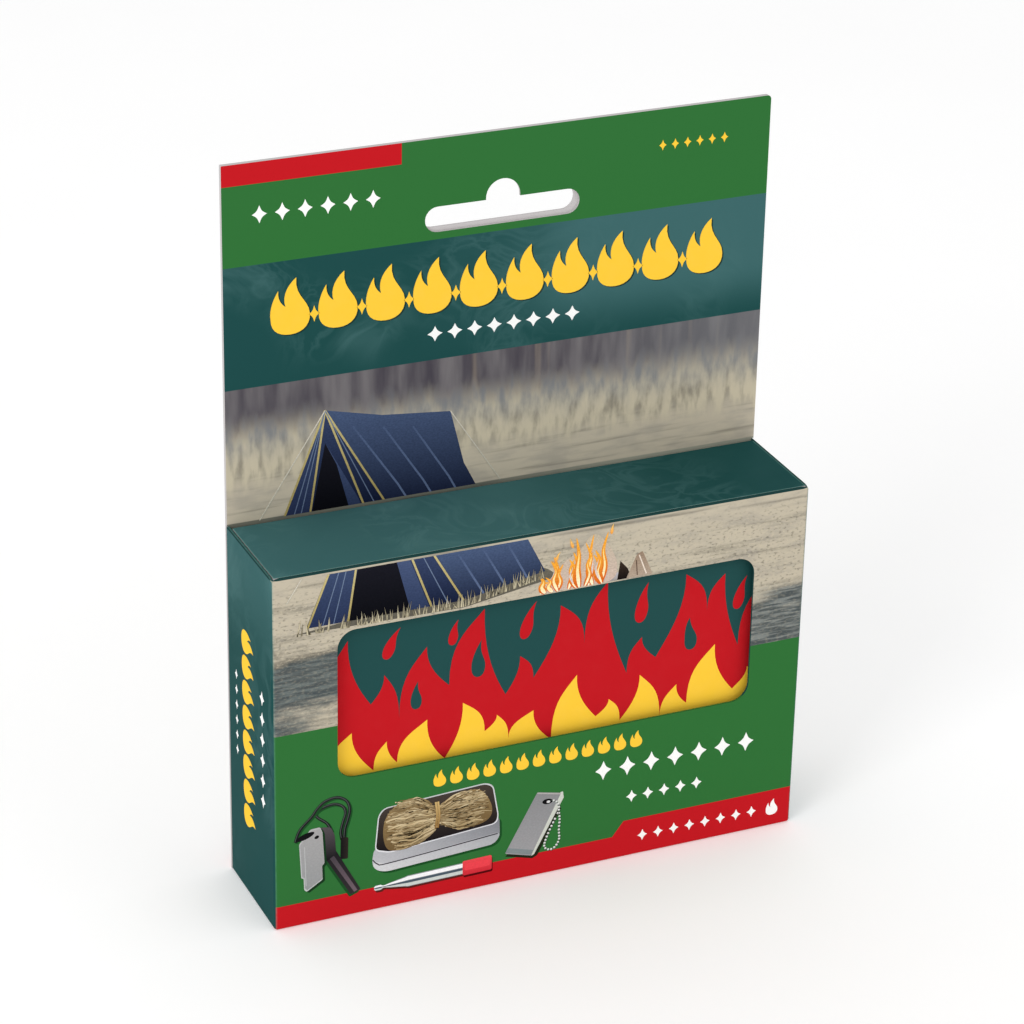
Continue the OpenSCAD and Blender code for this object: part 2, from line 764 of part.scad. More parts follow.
// Swelling of the bundle along its length: 0 at the tied waist, 1 past it, drawn in at the ends
function bundle_swell(u) = abs(u) < bundle_waist_share ? 1 - pow(1 - pow(u / bundle_waist_share, 2), 2) : 1;
function bundle_taper(u) = sqrt(1 - pow(abs(u), 6));
function bundle_ring(i) =
  let (u = bundle_end_share * (2 * i / bundle_stations - 1))
  let (half_h = (waist_r + (bundle_half_h - waist_r) * bundle_swell(u)) * bundle_taper(u))
  let (half_d = (waist_r + (bundle_d / 2 - waist_r) * bundle_swell(u)) * bundle_taper(u))
  [for (k = [0:bundle_sides - 1])
    [u * bundle_half_l, half_d * cos(360 * k / bundle_sides), half_h * sin(360 * k / bundle_sides)]];

module tinder_bundle() {
  color(straw) translate([0, bundle_y, bundle_z]) ringed_solid([for (i = [0:bundle_stations]) bundle_ring(i)]);
}

module tinder_tie() {
  pitch = 1.9 * tie_r;
  color(straw)
    translate([0, bundle_y, bundle_z]) rotate([0, 90, 0]) rotate_extrude()
      for (i = [0:tie_turns - 1])
        translate([waist_r + kit_gap + tie_r, (i - (tie_turns - 1) / 2) * pitch]) circle(tie_r);
}

front_panel();
left_side_panel();
right_side_panel();
back_panel();
fifth_panel();
top_flap();
top_tuck_tongue();
top_dust_flap_left();
top_dust_flap_right();
bottom_flap();
bottom_tuck_tongue();
bottom_dust_flap_left();
bottom_dust_flap_right();
tin_body();
tin_lid();
mouthpiece();
blow_tube_outer();
blow_tube_middle();
blow_tube_inner();
blow_tube_nozzle();
magnesium_bar();
ball_chain();
chain_clasp();
ferro_rod();
rod_handle();
striker_plate();
lanyard_cord();
lanyard_sleeve();
tinder_bundle();
tinder_tie();
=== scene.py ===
"""Looks of a fire starter tin that stands in its printed hanging carton.

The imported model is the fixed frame.
"""
from __future__ import annotations

import logging
import math
import random
from collections.abc import Callable, Sequence
from dataclasses import dataclass, field
from enum import Enum

import bmesh
import bpy
import numpy as np
from mathutils import Euler, Matrix, Vector
from mathutils.geometry import tessellate_polygon

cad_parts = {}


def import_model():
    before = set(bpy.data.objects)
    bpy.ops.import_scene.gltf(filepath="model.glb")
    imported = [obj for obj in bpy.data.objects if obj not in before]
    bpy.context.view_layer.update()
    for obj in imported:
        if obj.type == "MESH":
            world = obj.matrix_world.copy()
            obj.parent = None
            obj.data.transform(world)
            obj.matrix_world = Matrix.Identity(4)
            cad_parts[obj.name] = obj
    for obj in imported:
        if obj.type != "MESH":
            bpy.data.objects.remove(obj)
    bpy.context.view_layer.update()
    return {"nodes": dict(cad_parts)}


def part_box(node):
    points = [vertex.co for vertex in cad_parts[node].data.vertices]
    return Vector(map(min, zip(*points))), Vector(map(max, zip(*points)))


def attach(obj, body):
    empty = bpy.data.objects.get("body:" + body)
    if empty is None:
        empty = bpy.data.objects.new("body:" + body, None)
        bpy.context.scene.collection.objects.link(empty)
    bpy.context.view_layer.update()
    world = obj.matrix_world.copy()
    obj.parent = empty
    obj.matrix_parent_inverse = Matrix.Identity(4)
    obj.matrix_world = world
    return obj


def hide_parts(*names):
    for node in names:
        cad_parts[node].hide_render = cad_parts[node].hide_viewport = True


LOG = logging.getLogger("fire_starter_tin")
MM = 0.001
PER_MM = 1000.0
# Edges that turn by more than this stay sharp.
SHARP_DEG = 35.0
# Height of one ink film, and half the width of a print's edge, in millimetres.
FILM = 0.012
INK_EDGE = 0.05
# Millimetres that count as none, square millimetres that count as no triangle, and metres between doubles.
TINY = 1e-6
NO_AREA = 1e-9
DOUBLE_M = 2e-6

Point2 = tuple[float, float]
Point3 = tuple[float, float, float]
Loops = Sequence[Sequence[Point2]]
Colour = tuple[float, float, float, float]
Tint = Callable[[Point2], Colour]
Tongue = tuple[float, float, float, float, int]
Station = tuple[Point2, Point2, float]
Socket = bpy.types.NodeSocket
Feeds = dict[int | str, object]


def ink(red: int, green: int, blue: int) -> Colour:
    """Turns a screen colour of 0 to 255 a channel into Blender's linear one."""
    shares = [channel / 255 for channel in (red, green, blue)]
    return (*(c / 12.92 if c <= 0.04045 else ((c + 0.055) / 1.055) ** 2.4 for c in shares), 1.0)


class Ink(Enum):
    TEAL = ink(32, 75, 74)
    SHADE = ink(24, 54, 52)
    TEAL_PALE = ink(62, 103, 104)
    TEAL_MIST = ink(96, 137, 137)
    # Paler teal for the lines along the carton's creases and folds.
    TEAL_PALE_LINE = ink(104, 150, 142)
    GREEN = ink(50, 112, 56)
    RED = ink(195, 28, 36)
    YELLOW = ink(255, 205, 62)
    WHITE = ink(252, 252, 250)
    BOARD = ink(196, 192, 192)
    BOARD_CUT = ink(170, 167, 168)
    FOOT_LINE = ink(128, 136, 124)
    TREES_DARK = ink(72, 68, 76)
    TREES_GREY = ink(118, 114, 116)
    TRUNK = ink(152, 138, 122)
    BRUSH = ink(128, 130, 132)
    GRASS_PALE = ink(200, 190, 166)
    GROUND = ink(194, 184, 164)
    GROUND_DARK = ink(140, 134, 120)
    GROUND_SHADE = ink(66, 76, 80)
    MOTTLE = ink(158, 152, 142)
    STREAK = ink(124, 130, 128)
    STREAK_LEFT = ink(98, 108, 108)
    SPECK = ink(78, 76, 70)
    STRAW = ink(150, 116, 66)
    STRAW_PALE = ink(206, 176, 122)
    TIN_BARE = ink(170, 172, 174)
    CLOTH = ink(38, 38, 40)
    # Painted shade between the braid's strands.
    CLOTH_SHADE = ink(10, 10, 11)


class Axis(Enum):
    """The direction that a board's printed side faces."""

    X = 0
    Y = 1
    Z = 2


class Graph:
    """Writes a node tree: each call adds one node and gives one of its sockets."""

    def __init__(self, tree: bpy.types.NodeTree) -> None:
        """Starts writing in a tree."""
        self.tree = tree

    def add(self, kind: str, feeds: Feeds | None = None, out: int | str = 0, **settings: object) -> Socket:
        """Adds a node.

        Args:
            kind: The node's type.
            feeds: Values or sockets by the input's index or name.
            out: Index or name of the output that is wanted.
            **settings: Properties of the node.

        Returns:
            The output socket.
        """
        node = self.tree.nodes.new(kind)
        for name, value in settings.items():
            setattr(node, name, value)
        for key, feed in (feeds or {}).items():
            if isinstance(feed, Socket):
                self.tree.links.new(feed, node.inputs[key])
            else:
                node.inputs[key].default_value = feed
        return node.outputs[out]

    def math(self, operation: str, a: object, b: object = 0.0, c: object = 0.0) -> Socket:
        """Adds a sum or other operation on numbers."""
        return self.add("ShaderNodeMath", {0: a, 1: b, 2: c}, operation=operation)

    def times(self, a: object, b: object) -> Socket:
        """Multiplies two numbers."""
        return self.math("MULTIPLY", a, b)

    def size(self, a: object) -> Socket:
        """Gives a number without its sign."""
        return self.math("ABSOLUTE", a)

    def vector(self, operation: str, a: object, b: object = (0, 0, 0)) -> Socket:
        """Adds an operation on vectors."""
        return self.add("ShaderNodeVectorMath", {0: a, 1: b}, operation=operation)

    def triple(self, x: object, y: object = 0.0, z: object = 0.0) -> Socket:
        """Joins three numbers to a vector."""
        return self.add("ShaderNodeCombineXYZ", {0: x, 1: y, 2: z})

    def mix(self, share: object, a: object, b: object, blend: str = "MIX") -> Socket:
        """Mixes two colours: the share is the second one's."""
        feeds = {0: share, 6: getattr(a, "value", a), 7: getattr(b, "value", b)}
        return self.add("ShaderNodeMix", feeds, out=2, data_type="RGBA", blend_type=blend)

    def span(self, value: object, start: float, end: float, low: object = 0.0, high: object = 1.0,
             **settings: object) -> Socket:
        """Turns the range from start to end into the one from low to high."""
        return self.add("ShaderNodeMapRange", {0: value, 1: start, 2: end, 3: low, 4: high}, **settings)

    def rise(self, value: object, start: float, end: float) -> Socket:
        """Gives 0 where a value is before start, 1 after end, and rises between them."""
        return self.span(value, start, end, interpolation_type="SMOOTHSTEP")

    def above(self, value: object, limit: float, way: float = 1.0) -> Socket:
        """Gives 1 above a limit and 0 below it, with a printed edge between, or with way -1 the reverse."""
        return self.rise(value, limit - INK_EDGE * way, limit + INK_EDGE * way)

    def noise(self, vector: object, scale: float, detail: float = 3.0, distortion: float = 0.0) -> Socket:
        """Adds noise whose scale is in patches per unit of the vector."""
        feeds = {"Vector": vector, "Scale": scale, "Detail": detail, "Distortion": distortion}
        return self.add("ShaderNodeTexNoise", feeds)

    def grain(self, patches: float | Point3, detail: float = 3.0) -> Socket:
        """Adds noise by its patches per millimetre of the piece.

        Args:
            patches: The patches: one number, or one for each axis.
            detail: How many finer layers it has.

        Returns:
            The noise.
        """
        if isinstance(patches, float):
            return self.noise(self.millimetres(), patches, detail)
        return self.noise(self.millimetres(patches), 1.0, detail)

    def millimetres(self, stretch: Point3 = (1, 1, 1)) -> Socket:
        """Gives the piece's own coordinates in millimetres, stretched by the given factors."""
        place = self.add("ShaderNodeTexCoord", out="Object")
        return self.vector("MULTIPLY", place, tuple(PER_MM * s for s in stretch))

    def parts(self, vector: Socket | None = None) -> list[Socket]:
        """Gives the three numbers of a vector, or of the piece's own coordinates in millimetres."""
        first = self.add("ShaderNodeSeparateXYZ", {0: vector or self.millimetres()})
        return list(first.node.outputs)

    def facing(self, axis: Axis) -> Socket:
        """Gives how far the surface faces along one of the piece's own axes."""
        return self.parts(self.add("ShaderNodeTexCoord", out="Normal"))[axis.value]


@dataclass(frozen=True)
class Finish:
    """A surface: its colour, its gloss and its relief."""

    name: str
    roughness: float = 0.5
    metallic: float = 0.0
    sheen: float = 0.0
    specular: float = 0.5
    glow: float = 0.0
    relief_mm: float = 0.0
    texture: float | Point3 = 1.0
    texture_detail: float = 3.0

    def colour(self, g: Graph) -> object:
        """Gives the colour, as a socket or a plain colour."""
        raise NotImplementedError(self.name)

    def gloss(self, g: Graph) -> object:
        """Gives the roughness, as a socket or a plain number."""
        return self.roughness

    def relief(self, g: Graph) -> Socket:
        """Gives the relief's height from 0 to 1."""
        return g.grain(self.texture, self.texture_detail)

    def material(self) -> bpy.types.Material:
        """Makes the material, once.

        Returns:
            The material.
        """
        title = f"{self.name}_finish"
        found = bpy.data.materials.get(title)
        if found:
            return found
        made = bpy.data.materials.new(title)
        made.use_nodes = True
        g = Graph(made.node_tree)
        shader = made.node_tree.nodes["Principled BSDF"]
        feeds = {"Metallic": self.metallic, "Sheen Weight": self.sheen, "Specular IOR Level": self.specular,
                 "Emission Strength": self.glow, "Base Color": self.colour(g), "Roughness": self.gloss(g)}
        if self.relief_mm:
            bump = {"Height": self.relief(g), "Strength": 1.0, "Distance": self.relief_mm * MM}
            feeds["Normal"] = g.add("ShaderNodeBump", bump)
        for name, value in feeds.items():
            if isinstance(value, Socket):
                made.node_tree.links.new(value, shader.inputs[name])
            else:
                shader.inputs[name].default_value = value
        return made


@dataclass(frozen=True)
class Paper(Finish):
    """Coated carton board, with its faint fibre relief."""

    specular: float = 0.006
    relief_mm: float = 0.004
    texture: float = 3.5
    texture_detail: float = 4.0

    def gloss(self, g: Graph) -> object:
        """Gives a roughness that wanders a little, as varnish does."""
        return g.span(g.grain(0.12), 0.0, 1.0, self.roughness - 0.06, self.roughness + 0.08)


@dataclass(frozen=True)
class InkOnPaper(Paper):
    """One flat printing colour."""

    tint: Ink = Ink.YELLOW
    uneven: float = 0.01

    def colour(self, g: Graph) -> object:
        """Gives the ink, a touch uneven."""
        return g.mix(g.times(g.rise(g.grain(0.4), 0.35, 0.8), self.uneven), self.tint, Ink.WHITE)


@dataclass(frozen=True)
class Misty(Paper):
    """Dark teal print with curls of smoke."""

    bend_mm: float = 34.0
    thread_share: float = 0.16
    veil_share: float = 0.28

    def wash(self, g: Graph) -> object:
        """Gives the share of the paler teal, where the smoke is thin and wide."""
        return 0.0

    def colour(self, g: Graph) -> object:
        """Gives the teal with its smoke.

        Args:
            g: The material's nodes.

        Returns:
            The colour.
        """
        place = g.millimetres()
        drift = g.add("ShaderNodeTexNoise", {"Vector": place, "Scale": 0.035, "Detail": 2.0}, out="Color")
        bent = g.vector("ADD", place, g.vector("MULTIPLY", drift, (self.bend_mm,) * 3))
        veil = g.rise(g.noise(bent, 0.045, 4.0, 0.9), 0.46, 0.78)
        away = g.size(g.math("SUBTRACT", g.noise(bent, 0.06, 6.0, 2.4), 0.5))
        thread = g.math("MAXIMUM", g.math("SUBTRACT", 1.0, g.times(away, 11.0)), 0.0)
        where = g.rise(g.noise(place, 0.028, 1.0), 0.44, 0.6)
        smoke = g.math("MULTIPLY_ADD", thread, self.thread_share, g.times(veil, self.veil_share))
        return g.mix(g.times(where, smoke), g.mix(self.wash(g), Ink.TEAL, Ink.TEAL_PALE), Ink.TEAL_MIST)


@dataclass(frozen=True)
class MistyLeaf(Misty):
    """A flap's print: printed outside, bare inside, with cut edges and pale lines along its creases."""

    axis: Axis = Axis.Z
    outward: float = 1.0
    pale_line_x: float = 1e3
    pale_line_y: float = 1e3
    pale_line_reach: float = 0.12

    def wash(self, g: Graph) -> object:
        """Gives the pale wash, which fades to the right."""
        faded = g.math("ADD", g.rise(g.parts()[0], 45.0, -15.0), g.times(g.grain(0.05), 0.6))
        return g.math("SUBTRACT", faded, 0.3)

    def colour(self, g: Graph) -> object:
        """Gives print, bare board or cut edge by the way that the surface faces.

        Args:
            g: The material's nodes.

        Returns:
            The colour.
        """
        x, y, _ = g.parts()
        # Paler teal along the flap's side edges and its front crease.
        pale_line = g.math("MAXIMUM", g.rise(g.size(x), self.pale_line_x - self.pale_line_reach, self.pale_line_x),
                      g.rise(g.times(y, -1.0), self.pale_line_y - self.pale_line_reach, self.pale_line_y))
        paint = g.mix(g.times(pale_line, 0.6), super().colour(g), Ink.TEAL_PALE_LINE)
        facing = g.times(g.facing(self.axis), self.outward)
        inside = g.mix(g.rise(facing, -0.6, -0.5), Ink.BOARD, Ink.BOARD_CUT)
        return g.mix(g.rise(facing, 0.5, 0.6), inside, paint)


@dataclass(frozen=True)
class CartonPrint(Misty):
    """The heights that the carton's prints share, and the picture that runs over header and front."""

    top: float = 152.5
    band_top: float = 131.9
    band_foot: float = 106.7
    crease: float = 78.0
    picture_foot: float = 43.9
    red_top: float = 4.3
    red_foot: float = 5.3

    def landscape(self, g: Graph) -> Socket:
        """Gives a winter meadow: blurred woods, pale grass, and ground that grows sharper towards the foot.

        Args:
            g: The material's nodes.

        Returns:
            The colour.
        """
        x, _, z = g.parts()
        sway = g.grain((0.22, 0.5, 0.035))
        trunks = g.rise(g.grain((0.3, 0.5, 0.012), 2.0), 0.58, 0.76)
        trees = g.mix(g.rise(sway, 0.3, 0.72), Ink.TREES_DARK, Ink.TREES_GREY)
        trees = g.mix(g.times(trunks, 0.5), trees, Ink.TRUNK)
        trees = g.mix(g.times(g.rise(x, 12.0, 50.0), 0.45), trees, Ink.BRUSH)
        feather = g.grain((0.5, 0.5, 0.16), 4.0)
        brush = g.mix(g.rise(feather, 0.3, 0.78), Ink.BRUSH, Ink.GRASS_PALE)
        tufts = g.mix(g.rise(feather, 0.25, 0.6), Ink.GROUND_DARK, Ink.GRASS_PALE)
        picture = g.mix(g.rise(g.grain((0.035, 0.5, 0.7), 5.0), 0.26, 0.5), Ink.GROUND_DARK, Ink.GROUND)
        mottle = g.rise(g.grain((0.12, 0.5, 0.4), 6.0), 0.42, 0.68)
        picture = g.mix(g.times(mottle, 0.5), picture, Ink.MOTTLE)
        reach = g.math("MULTIPLY_ADD", feather, 8.0, g.math("MULTIPLY_ADD", sway, 8.0, z))
        for start, end, layer in ((92.0, 97.0, tufts), (97.0, 104.0, brush), (102.0, 110.0, trees)):
            picture = g.mix(g.rise(reach, start, end), picture, layer)
        return self.foreground(g, picture, x, z)

    def foreground(self, g: Graph, picture: Socket, x: Socket, z: Socket) -> Socket:
        """Adds the sharper foreground: shaded stretches, pale straw and dark specks.

        Args:
            g: The material's nodes.
            picture: The picture so far.
            x: Distance to the right, in millimetres.
            z: Height, in millimetres.

        Returns:
            The colour.
        """
        drift = g.math("MULTIPLY_ADD", g.grain((0.05, 0.5, 0.22), 4.0), 16.0, z)
        foot = g.rise(g.math("MULTIPLY_ADD", x, -0.03, drift), 64.0, 59.0)
        left = g.rise(x, -22.0, -34.0)
        shelf = g.times(g.rise(drift, 53.0, 56.5), g.rise(drift, 69.0, 66.5))
        ledge = g.times(g.rise(drift, 66.0, 68.0), g.rise(drift, 71.0, 69.5))
        shade = g.math("MAXIMUM", g.times(foot, g.rise(x, -40.0, 10.0)), g.times(shelf, left))
        streaks = g.rise(g.grain((0.16, 1.0, 1.5), 7.0), 0.42, 0.62)
        dim = g.mix(streaks, Ink.GROUND_SHADE, g.mix(left, Ink.STREAK, Ink.STREAK_LEFT))
        picture = g.mix(g.times(shade, 0.94), picture, dim)
        picture = g.mix(g.times(g.times(ledge, left), 0.6), picture, Ink.SPECK)
        near = g.times(g.rise(z, 80.0, 70.0), g.math("MULTIPLY_ADD", shade, -0.75, 1.0))
        grass = ((1.2, 1.0, 2.4), 8.0, 0.46, 0.7, 0.7, Ink.GRASS_PALE)
        specks = ((1.1, 1.0, 2.0), 7.0, 0.53, 0.68, 0.5, Ink.SPECK)
        for patches, detail, start, end, share, tone in (grass, specks):
            flecks = g.rise(g.grain(patches, detail), start, end)
            picture = g.mix(g.times(near, g.times(flecks, share)), picture, tone)
        return picture


@dataclass(frozen=True)
class SleevePrint(CartonPrint):
    """Print of the wrapped board: picture, green field and red foot in front, misty teal at the sides."""

    step_z: float = 8.6
    step_x0: float = 16.1
    step_x1: float = 18.6
    fold_x: float = 57.5

    def wash(self, g: Graph) -> object:
        """Gives the pale wash at the top of the sides."""
        return g.times(g.rise(g.parts()[2], 52.0, 76.0), 0.75)

    def colour(self, g: Graph) -> object:
        """Gives the print by place and by the way that the board faces, with painted shade on its top rim.

        Args:
            g: The material's nodes.

        Returns:
            The colour.
        """
        x, y, z = g.parts()
        front = g.mix(g.above(z, self.picture_foot), Ink.GREEN, self.landscape(g))
        step = g.span(x, self.step_x0, self.step_x1, self.red_foot, self.step_z)
        front = g.mix(g.above(g.math("SUBTRACT", z, step), 0.0), Ink.RED, front)
        side = g.rise(g.size(g.facing(Axis.X)), 0.6, 0.75)
        # Painted shade: above the crease the rim's teal is darkened towards Ink.SHADE, a dark line where the
        # front panel meets the top flap.
        rim = g.rise(z, self.crease - 0.42, self.crease - 0.36)
        teal = g.math("MAXIMUM", g.math("MAXIMUM", side, g.rise(y, -11.0, -10.0)), rim)
        paint = g.mix(teal, front, g.mix(g.times(rim, 0.85), super().colour(g), Ink.SHADE))
        # Paler teal in patches on the front beside its two side folds.
        fold = g.rise(g.size(x), self.fold_x - 0.62, self.fold_x - 0.3)
        fold = g.times(fold, g.math("SUBTRACT", 1.0, side))
        pale_line_share = g.math("MULTIPLY_ADD", g.grain(0.9, 4.0), 0.5, 0.02)
        return g.mix(g.times(fold, pale_line_share), paint, Ink.TEAL_PALE_LINE)


@dataclass(frozen=True)
class HeaderPrint(CartonPrint):
    """Print of the header's front: red block, green field, misty band and picture, and bare cut edges."""

    red_x: float = -21.2

    def wash(self, g: Graph) -> object:
        """Gives the pale wash over the band's middle and right.

        Args:
            g: The material's nodes.

        Returns:
            The share of the paler teal.
        """
        x, _, z = g.parts()
        patchy = g.math("MULTIPLY_ADD", g.noise(g.millimetres((1, 1, 0.5)), 0.04, 2.0), 60.0, x)
        return g.times(g.rise(patchy, 8.0, 60.0), g.rise(z, 106.0, 118.0))

    def colour(self, g: Graph) -> object:
        """Gives the print by place, with a painted shadow along its foot, and the cut edge.

        Args:
            g: The material's nodes.

        Returns:
            The colour.
        """
        x, _, z = g.parts()
        paint = g.mix(g.above(z, self.band_foot), self.landscape(g), super().colour(g))
        paint = g.mix(g.above(z, self.band_top), paint, Ink.GREEN)
        red = g.times(g.above(z, self.top - self.red_top), g.above(x, self.red_x, -1.0))
        paint = g.mix(red, paint, Ink.RED)
        # Painted shadow: a dark line along the header's foot where it meets the top flap, running at the
        # right into the pale FOOT_LINE.
        foot = g.times(g.rise(z, self.crease + 0.5, self.crease + 0.25), 0.7)
        paint = g.mix(foot, paint, g.mix(g.rise(x, -10.0, 30.0), Ink.SHADE, Ink.FOOT_LINE))
        return g.mix(g.rise(g.size(g.facing(Axis.Y)), 0.4, 0.6), Ink.BOARD, paint)


@dataclass(frozen=True)
class BackPrint(CartonPrint):
    """Print of the back: the green top and red block wrap round to it, over a misty field with a red foot."""

    def colour(self, g: Graph) -> object:
        """Gives the print by place, and the cut edge.

        Args:
            g: The material's nodes.

        Returns:
            The colour.
        """
        z = g.parts()[2]
        paint = g.mix(g.above(z, self.band_top), super().colour(g), Ink.GREEN)
        for limit, way in ((self.top - self.red_top, 1.0), (self.red_foot, -1.0)):
            paint = g.mix(g.above(z, limit, way), paint, Ink.RED)
        return g.mix(g.rise(g.facing(Axis.Y), 0.4, 0.6), Ink.BOARD, paint)


@dataclass(frozen=True)
class PicturePaper(Paper):
    """Printed picture whose colours are in the piece's own colour attribute."""

    attribute: str = "print_colour"
    grain: float = 0.08

    def colour(self, g: Graph) -> object:
        """Gives the attribute's colour with a photograph's fine grain.

        Args:
            g: The material's nodes.

        Returns:
            The colour.
        """
        paint = g.add("ShaderNodeAttribute", out="Color", attribute_name=self.attribute)
        noise = g.noise(g.millimetres((1.4, 1, 2.2)), 1.6, 5.0)
        grain = g.span(noise, 0.25, 0.75, 1.0 - self.grain, 1.0 + self.grain)
        return g.mix(1.0, paint, g.triple(grain, grain, grain), "MULTIPLY")


@dataclass(frozen=True)
class TinPrint(Finish):
    """Litho print on the lid: teal above and red below, with bare steel inside and a soft orange peel."""

    roughness: float = 0.36
    specular: float = 0.05
    relief_mm: float = 0.006
    texture: float = 0.8
    texture_detail: float = 2.0
    red_z: float = 40.0
    red_edge: float = 0.1
    middle_z: float = 37.9

    def colour(self, g: Graph) -> object:
        """Gives the print where the lid faces outwards.

        Args:
            g: The material's nodes.

        Returns:
            The colour.
        """
        x, _, z = g.parts()
        nx, ny, nz = g.parts(g.add("ShaderNodeTexCoord", out="Normal"))
        away = g.math("MULTIPLY_ADD", nz, g.math("SUBTRACT", z, self.middle_z), g.times(nx, x))
        outside = g.math("MAXIMUM", g.rise(away, 0.0, 0.5), g.rise(ny, -0.05, -0.15))
        paint = g.mix(g.rise(z, self.red_z - self.red_edge, self.red_z + self.red_edge), Ink.RED, Ink.TEAL)
        return g.mix(outside, Ink.TIN_BARE, paint)


@dataclass(frozen=True)
class Metal(Finish):
    """Bare metal with fine lines along one direction and a few darker patches."""

    metallic: float = 1.0
    roughness: float = 0.32
    relief_mm: float = 0.006
    texture: Point3 = (0.15, 6.0, 6.0)
    texture_detail: float = 4.0
    tint: Colour = ink(196, 198, 200)
    dull: Colour = ink(138, 140, 142)

    def colour(self, g: Graph) -> object:
        """Gives the metal with its patches."""
        return g.mix(g.times(g.rise(g.grain(0.16, 5.0), 0.42, 0.75), 0.6), self.tint, self.dull)

    def gloss(self, g: Graph) -> object:
        """Gives the roughness, lined as the relief is."""
        return g.span(g.grain(self.texture), 0.3, 0.7, self.roughness - 0.08, self.roughness + 0.14)


@dataclass(frozen=True)
class Moulded(Finish):
    """Moulded plastic with a fine matt spark-eroded texture."""

    roughness: float = 0.48
    relief_mm: float = 0.02
    texture: float = 5.0
    tint: Colour = ink(28, 28, 30)

    def colour(self, g: Graph) -> object:
        """Gives the plastic, rubbed paler here and there."""
        return g.mix(g.times(g.rise(g.grain(0.35, 5.0), 0.55, 0.9), 0.25), self.tint, Ink.WHITE)


@dataclass(frozen=True)
class Braid(Finish):
    """Braided cord: two sets of strands that cross, on the piece's own UV map."""

    roughness: float = 0.85
    sheen: float = 0.4
    relief_mm: float = 0.12
    strands: float = 4.0
    pitch: float = 4.0

    def strand(self, g: Graph, way: float) -> Socket:
        """Gives the height of the strands that run one way.

        Args:
            g: The material's nodes.
            way: 1 or -1.

        Returns:
            The height.
        """
        u, v, _ = g.parts(g.add("ShaderNodeUVMap"))
        phase = g.math("MULTIPLY_ADD", u, self.strands * way, g.times(v, self.pitch))
        return g.size(g.math("SINE", g.times(phase, math.pi)))

    def relief(self, g: Graph) -> Socket:
        """Gives the braid's height."""
        return g.math("MAXIMUM", self.strand(g, 1.0), self.strand(g, -1.0))

    def colour(self, g: Graph) -> object:
        """Gives near-black cloth, with painted shade between the strands."""
        return g.mix(self.relief(g), Ink.CLOTH_SHADE, Ink.CLOTH)


@dataclass(frozen=True)
class Fibre(Finish):
    """Jute fibres, from brown to pale straw, with the hairs of each strand."""

    roughness: float = 0.8
    sheen: float = 0.25
    relief_mm: float = 0.05
    texture: Point3 = (0.4, 6.0, 6.0)
    texture_detail: float = 2.0

    def colour(self, g: Graph) -> object:
        """Gives straw that changes from strand to strand."""
        return g.mix(g.rise(g.grain((0.12, 1.6, 1.6)), 0.3, 0.7), Ink.STRAW, Ink.STRAW_PALE)


@dataclass(frozen=True)
class StudioFloor(Finish):
    """The pale floor under the carton."""

    roughness: float = 0.9
    glow: float = 0.14

    def colour(self, g: Graph) -> object:
        """Gives an almost even white."""
        return g.mix(g.grain(0.01), ink(250, 250, 250), ink(246, 246, 246))


PICTURE = PicturePaper("picture_print")
CAMP_PRINT = PicturePaper("camp_print", grain=0.2)
WHITE_INK = InkOnPaper("white_ink", tint=Ink.WHITE)
YELLOW_INK = InkOnPaper("yellow_ink", tint=Ink.YELLOW)
RED_INK = InkOnPaper("red_ink", tint=Ink.RED, roughness=0.36, uneven=0.002)
SHADE_INK = InkOnPaper("shade_ink", tint=Ink.SHADE)
STEEL = Metal("tin_steel", texture=(6.0, 6.0, 0.2))
TUBE_STEEL = Metal("tube_steel", roughness=0.16, texture=(5.0, 0.3, 0.3), dull=ink(168, 170, 173))
MAGNESIUM = Metal("magnesium", roughness=0.5, tint=ink(148, 150, 152), dull=ink(112, 114, 117),
                  texture=(3.0, 3.0, 0.25), relief_mm=0.03)
CHAIN_STEEL = Metal("chain_steel", roughness=0.2, texture=(1.0, 1.0, 1.0))
FERRO = Metal("ferro", roughness=0.42, tint=ink(74, 74, 78), dull=ink(44, 44, 48), texture=(0.3, 4.0, 4.0),
              relief_mm=0.02)
STRIKER_STEEL = Metal("striker_steel", roughness=0.36, tint=ink(168, 170, 172), texture=(4.0, 4.0, 0.2),
                      relief_mm=0.01)
HANDLE = Moulded("handle_plastic")
MOUTH = Moulded("mouthpiece_red", tint=ink(204, 36, 40), roughness=0.38)
CORD = Braid("cord_fabric")
JUTE = Fibre("tinder_fibre")
SLEEVE_PRINT = SleevePrint("front_print")
HEADER_PRINT = HeaderPrint("header_print")
BACK_PRINT = BackPrint("back_print")
TEAL_PAPER = Misty("teal_print")
TOP_LEAF = MistyLeaf("top_leaf_print", pale_line_x=56.7, pale_line_y=12.3)
BOTTOM_LEAF = MistyLeaf("bottom_leaf_print", outward=-1.0)
TIN_PRINT = TinPrint("tin_print")


def arc(centre: Point2, radius: float, start: float, end: float, steps: int) -> list[Point2]:
    """Gives points on an arc, both ends among them."""
    angles = [math.radians(start + (end - start) * i / steps) for i in range(steps + 1)]
    return [(centre[0] + radius * math.cos(a), centre[1] + radius * math.sin(a)) for a in angles]


def rounded_box(x0: float, z0: float, x1: float, z1: float, radius: float, steps: int = 8) -> list[Point2]:
    """Gives the outline of a rectangle with round corners, anticlockwise.

    Args:
        x0: Its left side.
        z0: Its foot.
        x1: Its right side.
        z1: Its top.
        radius: The corners' radius.
        steps: Steps in each corner.

    Returns:
        The outline.
    """
    corners = [((x1 - radius, z0 + radius), 270), ((x1 - radius, z1 - radius), 0),
               ((x0 + radius, z1 - radius), 90), ((x0 + radius, z0 + radius), 180)]
    return [p for centre, start in corners for p in arc(centre, radius, start, start + 90, steps)]


